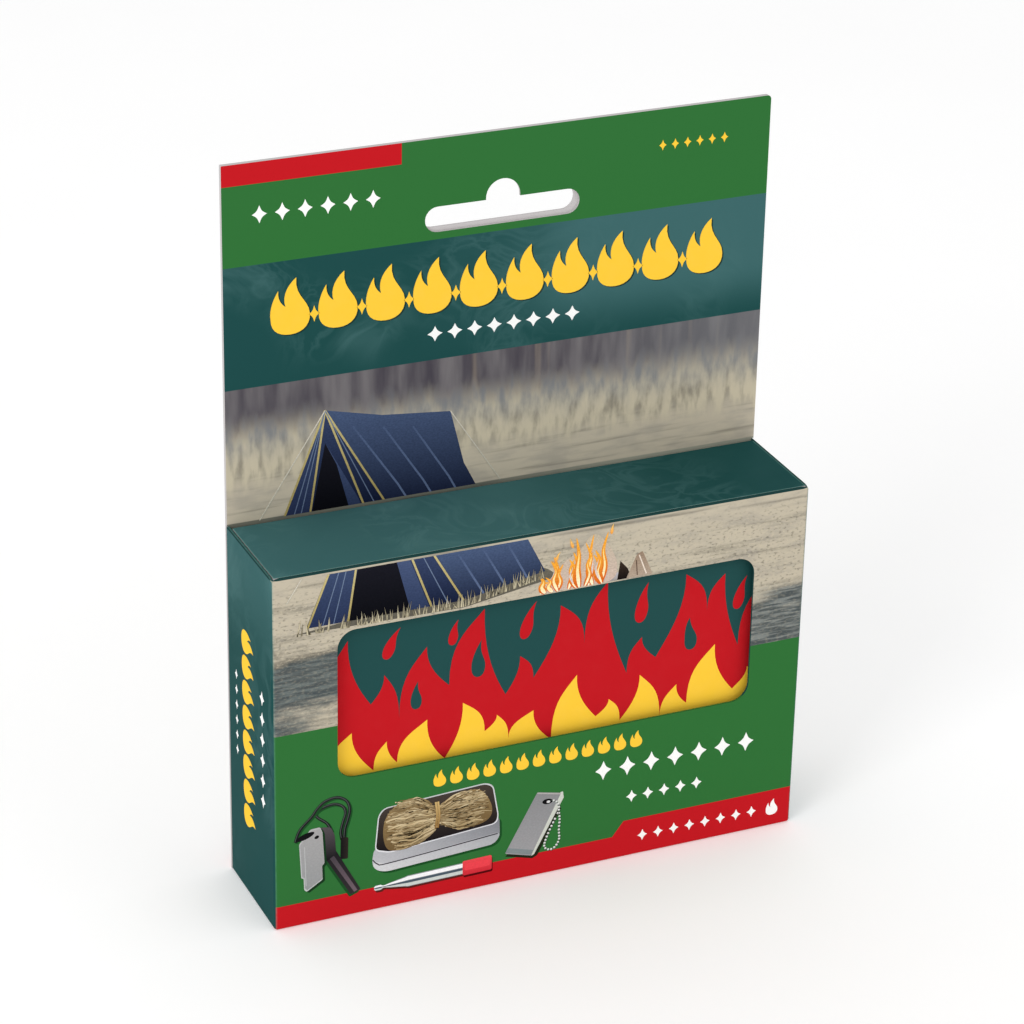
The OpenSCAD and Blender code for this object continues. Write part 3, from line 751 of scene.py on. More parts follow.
def bend(a: Point2, b: Point2, c: Point2, d: Point2, steps: int = 9) -> list[Point2]:
    """Gives points on a Bezier curve, without its first.

    Args:
        a: Its start.
        b: The start's handle.
        c: The end's handle.
        d: Its end.
        steps: Number of points.

    Returns:
        The points.
    """
    made = []
    for t in (i / steps for i in range(1, steps + 1)):
        w = ((1 - t) ** 3, 3 * t * (1 - t) ** 2, 3 * t * t * (1 - t), t**3)
        made.append(tuple(sum(k * p[axis] for k, p in zip(w, (a, b, c, d))) for axis in (0, 1)))
    return made


def flame(x: float, foot: float, width: float, height: float, lick: float) -> list[Point2]:
    """Gives the outline of one free flame, anticlockwise.

    Args:
        x: Middle of its foot.
        foot: Height of its foot.
        width: Its width.
        height: Its height.
        lick: Which way the tip leans, from -1 to 1.

    Returns:
        The outline.
    """
    def spot(across: float, up: float, lean: float = 0.0) -> Point2:
        """Gives a point by its shares of the flame's width, height and lean."""
        return (x + across * width + lean * lick * width, foot + up * height)

    low, tip, left, right = spot(0, 0), spot(0, 1, 0.22), spot(-0.5, 0.3), spot(0.5, 0.3)
    outline = bend(low, spot(0.3, 0), spot(0.5, 0.1), right)
    outline += bend(right, spot(0.5, 0.52), spot(0, 0.62, 0.04), tip)
    outline += bend(tip, spot(-0.42, 0.78, 0.22), spot(-0.5, 0.5), left)
    return outline + bend(left, spot(-0.5, 0.1), spot(-0.3, 0), low)


def blaze(width: float, height: float) -> list[Point2]:
    """Gives the outline of a flame with two tongues, its foot at the origin, anticlockwise.

    Args:
        width: Its width.
        height: Its height.

    Returns:
        The outline.
    """
    shares = [(0.0, 0.0), (0.3, 0.0), (0.52, 0.12), (0.5, 0.33), (0.48, 0.58), (0.1, 0.66), (0.16, 1.0),
              (-0.1, 0.86), (-0.2, 0.68), (-0.12, 0.5), (-0.2, 0.55), (-0.32, 0.62), (-0.3, 0.8),
              (-0.44, 0.66), (-0.54, 0.46), (-0.5, 0.3), (-0.5, 0.1), (-0.3, 0.0), (0.0, 0.0)]
    spots = [(x * width, z * height) for x, z in shares]
    return [p for i in range(0, len(spots) - 1, 3) for p in bend(*spots[i:i + 4], 7)]


def flame_edge(tongues: Sequence[Tongue], end: Point2) -> list[Point2]:
    """Gives the upper edge of a row of flame tongues, from left to right.

    Args:
        tongues: For each tongue, its left valley's x and z, its tip's x and z, and which way it licks.
        end: The last valley.

    Returns:
        The edge's points.
    """
    full, slack = (0.0, 0.62, 0.3, 0.26), (0.24, 0.26, -0.02, 0.44)
    valleys = [(t[0], t[1]) for t in tongues] + [end]
    edge = [valleys[0]]
    for (_, _, *tip, lick), a, b in zip(tongues, valleys, valleys[1:]):
        width = b[0] - a[0]

        def flank(start: Point2, way: int, shares: tuple[float, ...]) -> list[Point2]:
            """Gives one side of the tongue.

            Args:
                start: The valley where it starts.
                way: 1 when the tongue is to its right, else -1.
                shares: How far its curve's two handles reach out, up, back and down.

            Returns:
                Its points, from the valley to the tip.
            """
            rise, (out, lift, pull, drop) = tip[1] - start[1], shares
            return [start, *bend(start, (start[0] + way * out * width, start[1] + lift * rise),
                                 (tip[0] - way * pull * width, tip[1] - drop * rise), tuple(tip))]

        edge += flank(a, 1, full if lick > 0 else slack)[1:]
        edge += flank(b, -1, slack if lick > 0 else full)[-2::-1]
    return edge


def soft(corners: Sequence[Point2], radius: float) -> list[Point2]:
    """Rounds the corners of an outline.

    Args:
        corners: The outline.
        radius: How far from each corner the rounding starts.

    Returns:
        The rounded outline.
    """
    outline: list[Point2] = []
    for i, (x, z) in enumerate(corners):
        ends = []
        for ox, oz in (corners[i - 1], corners[(i + 1) % len(corners)]):
            share = min(0.48, radius / max(math.dist((x, z), (ox, oz)), TINY))
            ends.append((x + (ox - x) * share, z + (oz - z) * share))
        pulls = [(ex + (x - ex) * 0.6, ez + (z - ez) * 0.6) for ex, ez in ends]
        outline += [ends[0], *bend(ends[0], pulls[0], pulls[1], ends[1], 4)]
    return outline


def oval(x: float, z: float, half_long: float, half_short: float, turn: float = 0.0) -> list[Point2]:
    """Gives an ellipse whose long axis is turned."""
    turns = (math.pi * k / 10 for k in range(20))
    return moved([(half_long * math.cos(a), half_short * math.sin(a)) for a in turns], x, z, turn)


class MeshMaker:
    """Collects vertices, faces and colours in millimetres, and makes one object of them."""

    def __init__(self) -> None:
        """Starts empty."""
        self.points: list[Point3] = []
        self.faces: list[tuple[int, ...]] = []
        self.colours: list[Colour] = []

    def face(self, corners: Sequence[Point3], colours: Sequence[Colour] | None = None) -> None:
        """Adds one face, with its own vertices.

        Args:
            corners: Its corners.
            colours: The corners' colours.
        """
        start = len(self.points)
        self.points += [tuple(p) for p in corners]
        self.faces.append(tuple(range(start, start + len(corners))))
        self.colours += list(colours or [Ink.WHITE.value] * len(corners))

    def sheet(self, loops: Loops, place: Callable[[Point2], Point3], tint: Tint | None = None,
              flip: bool = False) -> None:
        """Fills an outline with triangles.

        Args:
            loops: The outline, and any holes after it.
            place: Gives the point in space for a point of the outline.
            tint: Gives the colour at a point of the outline.
            flip: Whether the faces look the other way.
        """
        flat = [p for loop in loops for p in loop]
        for tri in tessellate_polygon([[Vector((*p, 0)) for p in loop] for loop in loops]):
            a, b, c = (flat[i] for i in tri)
            turn = (b[0] - a[0]) * (c[1] - a[1]) - (b[1] - a[1]) * (c[0] - a[0])
            if abs(turn) > NO_AREA:
                corners = [a, b, c] if (turn > 0) != flip else [a, c, b]
                self.face([place(p) for p in corners], [tint(p) for p in corners] if tint else None)

    def ribbon(self, first: Sequence[Point3], second: Sequence[Point3],
               tones: Sequence[Colour] | None = None) -> None:
        """Joins two rows of points with quads."""
        for i, (a, b, c, d) in enumerate(zip(first, first[1:], second[1:], second)):
            self.face([a, b, c, d], [tones[i], tones[i + 1], tones[i + 1], tones[i]] if tones else None)

    def build(self, name: str, finish: Finish, coloured: bool = False) -> bpy.types.Object:
        """Makes the object, with its doubles merged.

        Args:
            name: Its name.
            finish: Its finish.
            coloured: Whether its colours are kept as an attribute.

        Returns:
            The object, in metres.
        """
        mesh = bpy.data.meshes.new(name)
        mesh.from_pydata([[c * MM for c in p] for p in self.points], [], self.faces)
        if coloured:
            layer = mesh.color_attributes.new(PICTURE.attribute, "FLOAT_COLOR", "CORNER")
            layer.data.foreach_set("color", np.array(self.colours, np.float32).ravel())
        work = bmesh.new()
        work.from_mesh(mesh)
        bmesh.ops.remove_doubles(work, verts=work.verts, dist=DOUBLE_M)
        work.to_mesh(mesh)
        work.free()
        return finished(name, mesh, finish)


def finished(name: str, mesh: bpy.types.Mesh, finish: Finish) -> bpy.types.Object:
    """Makes an object of a mesh: smooth but for its sharp edges, and dressed.

    Args:
        name: The object's name.
        mesh: Its mesh, in metres.
        finish: Its finish.

    Returns:
        The object, linked to the scene.
    """
    mesh.polygons.foreach_set("use_smooth", [True] * len(mesh.polygons))
    mesh.set_sharp_from_angle(angle=math.radians(SHARP_DEG))
    mesh.materials.append(finish.material())
    return linked(name, mesh)


def linked(name: str, data: bpy.types.ID) -> bpy.types.Object:
    """Makes an object and links it to the scene.

    Args:
        name: Its name.
        data: Its data.

    Returns:
        The object.
    """
    made = bpy.data.objects.new(name, data)
    bpy.context.scene.collection.objects.link(made)
    return made


def node_group(name: str, inputs: dict[str, tuple[str, object]]) -> tuple[Graph, dict[str, Socket]]:
    """Starts a Geometry Nodes tree with named inputs.

    Args:
        name: The tree's name.
        inputs: For each input, its socket type and its value.

    Returns:
        The graph, and the input sockets by name.
    """
    tree = bpy.data.node_groups.new(name, "GeometryNodeTree")
    for way in ("INPUT", "OUTPUT"):
        tree.interface.new_socket("Geometry", in_out=way, socket_type="NodeSocketGeometry")
    for key, (kind, value) in inputs.items():
        tree.interface.new_socket(key, in_out="INPUT", socket_type=kind).default_value = value
    entry = tree.nodes.new("NodeGroupInput")
    return Graph(tree), {socket.name: socket for socket in entry.outputs if socket.name}


def close_group(g: Graph, shape: Socket, finish: Finish) -> bpy.types.NodeTree:
    """Ends a Geometry Nodes tree: instances made real, material set, result given out.

    Args:
        g: The tree's nodes.
        shape: What the tree has made.
        finish: Its finish.

    Returns:
        The tree.
    """
    real = g.add("GeometryNodeRealizeInstances", {"Geometry": shape})
    dressed = g.add("GeometryNodeSetMaterial", {"Geometry": real, "Material": finish.material()})
    g.tree.links.new(dressed, g.tree.nodes.new("NodeGroupOutput").inputs[0])
    return g.tree


def grown(carrier: bpy.types.Object, tree: bpy.types.NodeTree, values: dict[str, object]) -> bpy.types.Object:
    """Runs a Geometry Nodes tree on an object and keeps the result as its plain mesh.

    Args:
        carrier: The object.
        tree: The tree.
        values: Values of its named inputs.

    Returns:
        The same object, with its new mesh and no modifier.
    """
    modifier = carrier.modifiers.new("grow", "NODES")
    modifier.node_group = tree
    for item in tree.interface.items_tree:
        if item.in_out == "INPUT" and item.name in values:
            modifier[item.identifier] = values[item.name]
    mesh = bpy.data.meshes.new_from_object(carrier.evaluated_get(bpy.context.evaluated_depsgraph_get()))
    carrier.modifiers.clear()
    carrier.data = mesh
    return carrier


def row_tree(finish: Finish) -> bpy.types.NodeTree:
    """Makes the tree that repeats the carrier's own mesh along a line.

    Args:
        finish: The row's finish.

    Returns:
        The tree.
    """
    inputs = {"Count": ("NodeSocketInt", 5), "Step": ("NodeSocketVector", (0.01, 0, 0))}
    g, given = node_group(f"row_of_{finish.name}", inputs)
    line = g.add("GeometryNodeMeshLine", {"Count": given["Count"], "Offset": given["Step"]}, mode="OFFSET")
    row = g.add("GeometryNodeInstanceOnPoints", {"Points": line, "Instance": given["Geometry"]})
    return close_group(g, row, finish)


def fibre_tree(finish: Finish) -> bpy.types.NodeTree:
    """Makes the tree that lays wavy strands in the shape of a bundle tied at its waist.

    Args:
        finish: The strands' finish.

    Returns:
        The tree.
    """
    lengths = ("Half length", "Half depth", "Half height", "Waist", "Thickness", "Wander")
    inputs = {"Strands": ("NodeSocketInt", 200), "Points": ("NodeSocketInt", 20)}
    g, given = node_group("fibre_bundle", {**inputs, **{name: ("NodeSocketFloat", 0.01) for name in lengths}})
    draws = ("turn", "depth", "phase")
    starts = g.add("GeometryNodePoints", {"Count": given["Strands"]})
    for seed, name in enumerate(draws, start=3):
        chance = g.add("FunctionNodeRandomValue", {"Seed": seed}, out=1, data_type="FLOAT")
        starts = g.add("GeometryNodeStoreNamedAttribute", {"Geometry": starts, "Name": name, "Value": chance},
                       data_type="FLOAT", domain="POINT")
    line = g.add("GeometryNodeCurvePrimitiveLine", {"Start": (-1, 0, 0), "End": (1, 0, 0)})
    line = g.add("GeometryNodeResampleCurve", {"Curve": line, "Count": given["Points"]})
    strands = g.add("GeometryNodeInstanceOnPoints", {"Points": starts, "Instance": line})
    strands = g.add("GeometryNodeRealizeInstances", {"Geometry": strands})
    turn, depth, phase = (g.add("GeometryNodeInputNamedAttribute", {"Name": name}, data_type="FLOAT")
                          for name in draws)
    along = g.math("MULTIPLY_ADD", g.add("GeometryNodeSplineParameter"), 2.0, -1.0)
    along = g.times(along, g.math("MULTIPLY_ADD", phase, 0.1, 0.87))
    near = g.math("MINIMUM", g.times(g.size(along), 2.0), 1.0)
    hollow = g.math("SUBTRACT", 1.0, g.math("POWER", near, 2.0))
    swell = g.math("SUBTRACT", 1.0, g.math("POWER", hollow, 2.0))
    taper = g.math("SQRT", g.math("SUBTRACT", 1.0, g.math("POWER", g.size(along), 6.0)))
    fill = g.math("MULTIPLY_ADD", depth, 0.42, 0.55)
    wave = g.math("SINE", g.math("MULTIPLY_ADD", along, 4.0, g.times(phase, 40.0)))
    swing = g.math("MULTIPLY_ADD", wave, 0.28, g.times(turn, 2 * math.pi))

    def reach(direction: str, half: str) -> Socket:
        """Gives how far the strand is off the middle line here.

        Args:
            direction: The wave that it follows.
            half: The bundle's half size in that direction.

        Returns:
            The distance.
        """
        grown_by = g.times(g.math("SUBTRACT", given[half], given["Waist"]), swell)
        thick = g.times(g.times(g.math("ADD", grown_by, given["Waist"]), taper), fill)
        return g.times(g.math(direction, swing), thick)

    place = g.triple(g.times(along, given["Half length"]), reach("COSINE", "Half depth"),
                     reach("SINE", "Half height"))
    own = g.vector("ADD", place, g.triple(phase, turn))
    loose = g.add("ShaderNodeTexNoise", {"Vector": own, "Scale": 130.0, "Detail": 1.0}, out="Color")
    wander = g.times(given["Wander"], swell)
    off = g.vector("MULTIPLY", g.vector("SUBTRACT", loose, (0.5, 0.5, 0.5)), g.triple(wander, wander, wander))
    strands = g.add("GeometryNodeSetPosition", {"Geometry": strands, "Position": g.vector("ADD", place, off)})
    wire = {"Resolution": 4, "Radius": given["Thickness"]}
    profile = g.add("GeometryNodeCurvePrimitiveCircle", wire, mode="RADIUS")
    tubes = g.add("GeometryNodeCurveToMesh", {"Curve": strands, "Profile Curve": profile, "Fill Caps": True})
    return close_group(g, tubes, finish)


@dataclass
class Sleeve:
    """The board that wraps the tin: the front panel with its window, and both sides, with round folds."""

    half_w: float
    front: float
    back_left: float
    back_right: float
    height: float
    board: float
    window: tuple[float, float, float, float]
    window_r: float = 3.8
    fold_r: float = 0.8
    nick: float = 0.3
    nick_reach: float = 1.2
    steps: int = 6
    levels: int = 12

    def path(self) -> list[Station]:
        """Gives the outer line round the carton, seen from above.

        Returns:
            For each station, its place, its direction inwards, and how deep the top is nicked there.
        """
        w, r, b, near = self.half_w, self.fold_r, self.board, self.front + self.fold_r
        return [*self.fold((-w + b, self.back_left), b, 90, 0.0),
                *self.approach((-w, near), (1, 0), (0, 1))[::-1],
                *self.fold((-w + r, near), r, 180, self.nick),
                *self.approach((-w + r, self.front), (0, 1), (1, 0)),
                *self.approach((w - r, self.front), (0, 1), (-1, 0))[::-1],
                *self.fold((w - r, near), r, 270, self.nick),
                *self.approach((w, near), (-1, 0), (0, 1)),
                *self.fold((w - b, self.back_right), b, 0, 0.0)]

    def fold(self, centre: Point2, radius: float, start: float, nick: float) -> list[Station]:
        """Gives the stations of a fold.

        Args:
            centre: The fold's centre.
            radius: Its outer radius.
            start: Its first angle, in degrees.
            nick: How deep the top is nicked there.

        Returns:
            The stations.
        """
        made = []
        for a in (math.radians(start + 90 * i / self.steps) for i in range(self.steps + 1)):
            out = (math.cos(a), math.sin(a))
            place = (centre[0] + radius * out[0], centre[1] + radius * out[1])
            made.append((place, (-out[0], -out[1]), nick))
        return made

    def approach(self, corner: Point2, inward: Point2, away: Point2) -> list[Station]:
        """Gives the stations beside a fold, where the nick in the board's top runs out.

        Args:
            corner: Where the fold ends.
            inward: Direction into the carton.
            away: Direction away from the fold.

        Returns:
            The stations, the nearest first.
        """
        made = []
        for share in (i / self.steps for i in range(1, self.steps + 1)):
            run = share * self.nick_reach
            place = (corner[0] + away[0] * run, corner[1] + away[1] * run)
            made.append((place, inward, self.nick * (1 - share) ** 2))
        return made

    def point(self, station: Station, depth: float, z: float) -> Point3:
        """Gives a point of the board.

        Args:
            station: The station.
            depth: Depth behind the outer face.
            z: Height before the nick.

        Returns:
            The point.
        """
        (x, y), (nx, ny), nick = station
        high = max(0.0, (z - self.height / 2) / (self.height / 2)) ** 8
        return (x + nx * depth, y + ny * depth, z - nick * high)

    def build(self) -> bpy.types.Object:
        """Makes the sleeve.

        Returns:
            The piece.
        """
        shape, path, b, top = MeshMaker(), self.path(), self.board, self.height
        quarter = [math.pi / 2 * i / self.steps for i in range(self.steps + 1)]
        rise = [top * i / self.levels for i in range(1, self.levels)]
        outer = [(b - b * math.sin(a), b - b * math.cos(a)) for a in quarter] + [(0.0, z) for z in rise]
        outer += [(b - b * math.cos(a), top - b + b * math.sin(a)) for a in quarter]
        inner = [(b, z) for z in (0.0, *rise, top)]
        # The strip between the two front folds is filled below as two sheets round the window.
        flat = 4 * self.steps + 1
        for i, (left, right) in enumerate(zip(path, path[1:])):
            for profile in (outer,) if i == flat else (outer, inner[::-1]):
                for (d0, z0), (d1, z1) in zip(profile, profile[1:]):
                    if i != flat or min(z0, z1) < b - TINY or max(z0, z1) > top - b + TINY:
                        shape.face([self.point(left, d0, z0), self.point(right, d0, z0),
                                    self.point(right, d1, z1), self.point(left, d1, z1)])
        rim = outer + inner[-2:0:-1]
        shape.face([self.point(path[0], d, z) for d, z in rim])
        shape.face([self.point(path[-1], d, z) for d, z in rim[::-1]])
        hole = rounded_box(*self.window, self.window_r)
        (start, _), (end, _) = path[flat][0], path[flat + 1][0]
        for depth, profile, margin in ((0.0, outer, b), (b, inner, 0.0)):
            low, high = margin - TINY, top - margin + TINY
            heights = [z for d, z in profile if low <= z <= high and abs(d - depth) < TINY]
            edge = [(start, z) for z in heights[::-1]] + [(end, z) for z in heights]
            y = self.front + depth
            shape.sheet([edge, hole], lambda p, y=y: (p[0], y, p[1]), flip=depth > 0)
        shape.ribbon(*([(x, self.front + depth, z) for x, z in hole + hole[:1]] for depth in (0.0, b)))
        return shape.build("carton_sleeve", SLEEVE_PRINT)


@dataclass(frozen=True)
class Face:
    """A face of the object that a drawing lies on: right, up and outwards of the drawing in space."""

    axis: Axis
    at: float
    outward: float

    def place(self, p: Point2, lift: float) -> Point3:
        """Gives the point in space for a point of the drawing.

        Args:
            p: The point of the drawing.
            lift: Its height above the face.

        Returns:
            The point in space.
        """
        depth, right = self.at + self.outward * lift, p[0] * self.outward
        places = {Axis.X: (depth, right, p[1]), Axis.Y: (-right, depth, p[1]), Axis.Z: (right, p[1], depth)}
        return places[self.axis]


def lay(shape: MeshMaker, face: Face, loops: Loops, low: float, high: float,
        tint: Tint | None = None) -> None:
    """Adds a closed plate or film with any outline, drawn anticlockwise, and with any holes.

    Args:
        shape: The mesh that it is added to.
        face: The face that it lies on.
        loops: The outline, and the holes after it.
        low: Height of its back above the face.
        high: Height of its front above the face.
        tint: Gives the colour at a point of the drawing.
    """
    shape.sheet(loops, lambda p: face.place(p, high), tint)
    shape.sheet(loops, lambda p: face.place(p, low), tint, flip=True)
    for i, loop in enumerate(loops):
        closed = [*loop, loop[0]]
        rows = [[face.place(p, lift) for p in closed] for lift in ((high, low) if i > 0 else (low, high))]
        shape.ribbon(*rows, [tint(p) for p in closed] if tint else None)


def plate(name: str, face: Face, loops: Loops, low: float, high: float, finish: Finish) -> bpy.types.Object:
    """Makes a piece of one plate or film.

    Args:
        name: The piece's name.
        face: The face that it lies on.
        loops: The outline, and the holes after it.
        low: Height of its back above the face.
        high: Height of its front above the face.
        finish: Its finish.

    Returns:
        The piece.
    """
    shape = MeshMaker()
    lay(shape, face, loops, low, high)
    return shape.build(name, finish)


@dataclass
class Closure:
    """A closing flap with its tuck tongue: one leaf, folded round where the tongue turns in."""

    name: str
    half_w: float
    hinge_y: float
    far_y: float
    height: float
    board: float
    tongue_end: float
    tongue_half: float
    lean: float
    at_foot: bool = False
    tongue_r: float = 4.0
    steps: int = 8

    def line(self) -> list[Station]:
        """Gives the outer line in Y and Z from the hinge to the tongue's tip.

        Returns:
            For each station, its place, its direction inwards, and the leaf's half width.
        """
        r = 2 * self.board
        turn = math.pi / 2 + self.lean
        made = [((y, self.height), (0.0, -1.0), self.half_w) for y in (self.hinge_y, self.far_y - 3 * r)]
        centre = (self.far_y - r, self.height - r)
        for i in range(self.steps + 1):
            out = (math.sin(turn * i / self.steps), math.cos(turn * i / self.steps))
            half = self.half_w + (self.tongue_half - self.half_w) * i / self.steps
            made.append(((centre[0] + r * out[0], centre[1] + r * out[1]), (-out[0], -out[1]), half))
        (y, z), inward, _ = made[-1]
        slope = (math.sin(self.lean), math.cos(self.lean))
        length = (z - self.tongue_end) / slope[1]
        for i in range(self.steps + 1):
            left = self.tongue_r * (1 - math.sin(math.pi / 2 * i / self.steps))
            drop = length - left
            rounding = math.sqrt(max(0.0, self.tongue_r**2 - (self.tongue_r - left) ** 2))
            half = self.tongue_half - self.tongue_r + rounding
            made.append(((y - slope[0] * drop, z - slope[1] * drop), inward, half))
        return made

    def build(self, finish: Finish) -> bpy.types.Object:
        """Makes the closure.

        Args:
            finish: Its print, which knows its inside and its cut edges.

        Returns:
            The piece.
        """
        shape, rows = MeshMaker(), []
        for (y, z), (ny, nz), half in self.line():
            under = (y + ny * self.board, z + nz * self.board)
            ring = [(-half, y, z), (half, y, z), (half, *under), (-half, *under)]
            rows.append([(x, py, self.height - pz) for x, py, pz in reversed(ring)] if self.at_foot else ring)
        for a, b in zip(rows, rows[1:]):
            for i in range(4):
                shape.face([a[i], a[(i + 1) % 4], b[(i + 1) % 4], b[i]])
        shape.face(rows[0][::-1])
        shape.face(rows[-1])
        return shape.build(self.name, finish)


@dataclass
class Ornament:
    """A row of one small ink shape on a face of the carton."""

    name: str
    finish: Finish
    face: Face
    motif: Sequence[Point2]
    step: Point2
    count: int

    def build(self) -> bpy.types.Object:
        """Makes the row.

        Returns:
            The piece.
        """
        lift = FILM if self.finish is SHADE_INK else 2 * FILM
        carrier = plate(self.name, self.face, [self.motif], -FILM, lift, self.finish)
        home, away = (Vector(self.face.place(p, 0.0)) for p in ((0.0, 0.0), self.step))
        return grown(carrier, row_tree(self.finish), {"Count": self.count, "Step": (away - home) * MM})


def lozenge(x: float, z: float, width: float, height: float) -> list[Point2]:
    """Gives a diamond with slightly hollow sides.

    Args:
        x: Its middle's distance to the right.
        z: Its middle's height.
        width: Its width.
        height: Its height.

    Returns:
        The outline.
    """
    hollow = 0.32
    corners = [(x + width / 2, z), (x, z + height / 2), (x - width / 2, z), (x, z - height / 2)]
    outline: list[Point2] = []
    for a, b in zip(corners, corners[1:] + corners[:1]):
        pull = tuple(m + (p - m) * hollow + (q - m) * hollow for m, p, q in zip((x, z), a, b))
        outline += bend(a, pull, pull, b, 5)
    return outline


def moved(outline: Sequence[Point2], right: float, up: float, turn: float = 0.0) -> list[Point2]:
    """Turns an outline about its origin and moves it."""
    c, s = math.cos(math.radians(turn)), math.sin(math.radians(turn))
    return [(right + x * c - z * s, up + x * s + z * c) for x, z in outline]


def band(points: Sequence[Point2], width: float, taper: bool = False) -> list[Point2]:
    """Gives the outline of a line of a given width, or of a stroke that runs out in a tip.

    Args:
        points: The line.
        width: Its width.
        taper: Whether it is a stroke.

    Returns:
        The outline.
    """
    left, right = [], []
    for i, (x, z) in enumerate(points):
        (ax, az), (bx, bz) = points[max(i - 1, 0)], points[min(i + 1, len(points) - 1)]
        length = math.hypot(bx - ax, bz - az) or 1.0
        share = i / (len(points) - 1)
        wide = width * (min(1.0, 0.35 + 3 * share) * (1 - share) ** 0.8 + 0.02 if taper else 1.0)
        nx, nz = -(bz - az) / length * wide / 2, (bx - ax) / length * wide / 2
        left.append((x + nx, z + nz))
        right.append((x - nx, z - nz))
    return right + left[::-1]


def blend(a: Colour, b: Colour, share: float) -> Colour:
    """Mixes two colours."""
    t = min(1.0, max(0.0, share))
    return tuple(p + (q - p) * t for p, q in zip(a, b))


def curved(points: Sequence[Point2], cuts: int = 5) -> list[Point2]:
    """Gives the smooth curve through points of a drawing."""
    return [tuple(p) for p in smoothed([Vector(p) for p in points], cuts)]


def cut(corners: Sequence[Point2], limit: float, side: float) -> list[Point2]:
    """Cuts a polygon off at a height.

    Args:
        corners: The polygon.
        limit: The height.
        side: 1 to keep what is above it, -1 to keep what is below.

    Returns:
        What is left of the polygon.
    """
    kept: list[Point2] = []
    for a, b in zip(corners, [*corners[1:], *corners[:1]]):
        da, db = (a[1] - limit) * side, (b[1] - limit) * side
        if da >= 0:
            kept.append(a)
        if (da >= 0) != (db >= 0):
            kept.append((a[0] + (b[0] - a[0]) * da / (da - db), limit))
    return kept


@dataclass
class Picture:
    """Printed pictures on one face, as stacked ink films in one mesh."""

    name: str
    face: Face
    finish: Finish = PICTURE
    level: int = 0
    base_lift: float = 0.4 * FILM
    level_lift: float = 0.4 * FILM
    shape: MeshMaker = field(default_factory=MeshMaker)

    def patch(self, outline: Sequence[Point2], low: Colour, high: Colour | None = None,
              side: float = 0.0) -> None:
        """Adds one film over those before it, shaded from its foot to its top or from its left to its right.

        Args:
            outline: The outline.
            low: Colour at its foot, or at its left.
            high: Colour at its top, or at its right.
            side: Share of the shading that runs to the right, and not up.
        """
        xs, zs = zip(*outline)
        width, height = max(max(xs) - min(xs), TINY), max(max(zs) - min(zs), TINY)

        def tint(p: Point2) -> Colour:
            """Gives the shaded colour at a point."""
            up, right = (p[1] - min(zs)) / height, (p[0] - min(xs)) / width
            return blend(low, high or low, up * (1 - side) + right * side)

        turn = sum(a[0] * b[1] - b[0] * a[1] for a, b in zip(outline, [*outline[1:], outline[0]]))
        self.level += 1
        ring = list(outline)[::1 if turn > 0 else -1]
        lay(self.shape, self.face, [ring], -FILM, self.base_lift + self.level_lift * self.level, tint=tint)

    def films(self, *rows: tuple) -> None:
        """Adds a film for each row.

        Args:
            *rows: Outline, radius of its corners, colour, and where wanted the top's colour and the share
                of the shading that runs to the right.
        """
        for outline, radius, low, *rest in rows:
            high, side = [*rest, *(None, 0.0)[len(rest):]]
            shape = soft(outline, radius) if radius else outline
            self.patch(shape, ink(*low), ink(*high) if high else None, side)

    def strokes(self, *rows: tuple, taper: bool = False) -> None:
        """Adds a line for each row of points, width, colour and top's colour."""
        self.films(*((band(points, width, taper), 0, *tones) for points, width, *tones in rows))

    def build(self) -> bpy.types.Object:
        """Makes the piece, flat shaded.

        Returns:
            The piece.
        """
        made = self.shape.build(self.name, self.finish, coloured=True)
        made.data.polygons.foreach_set("use_smooth", [False] * len(made.data.polygons))
        return made


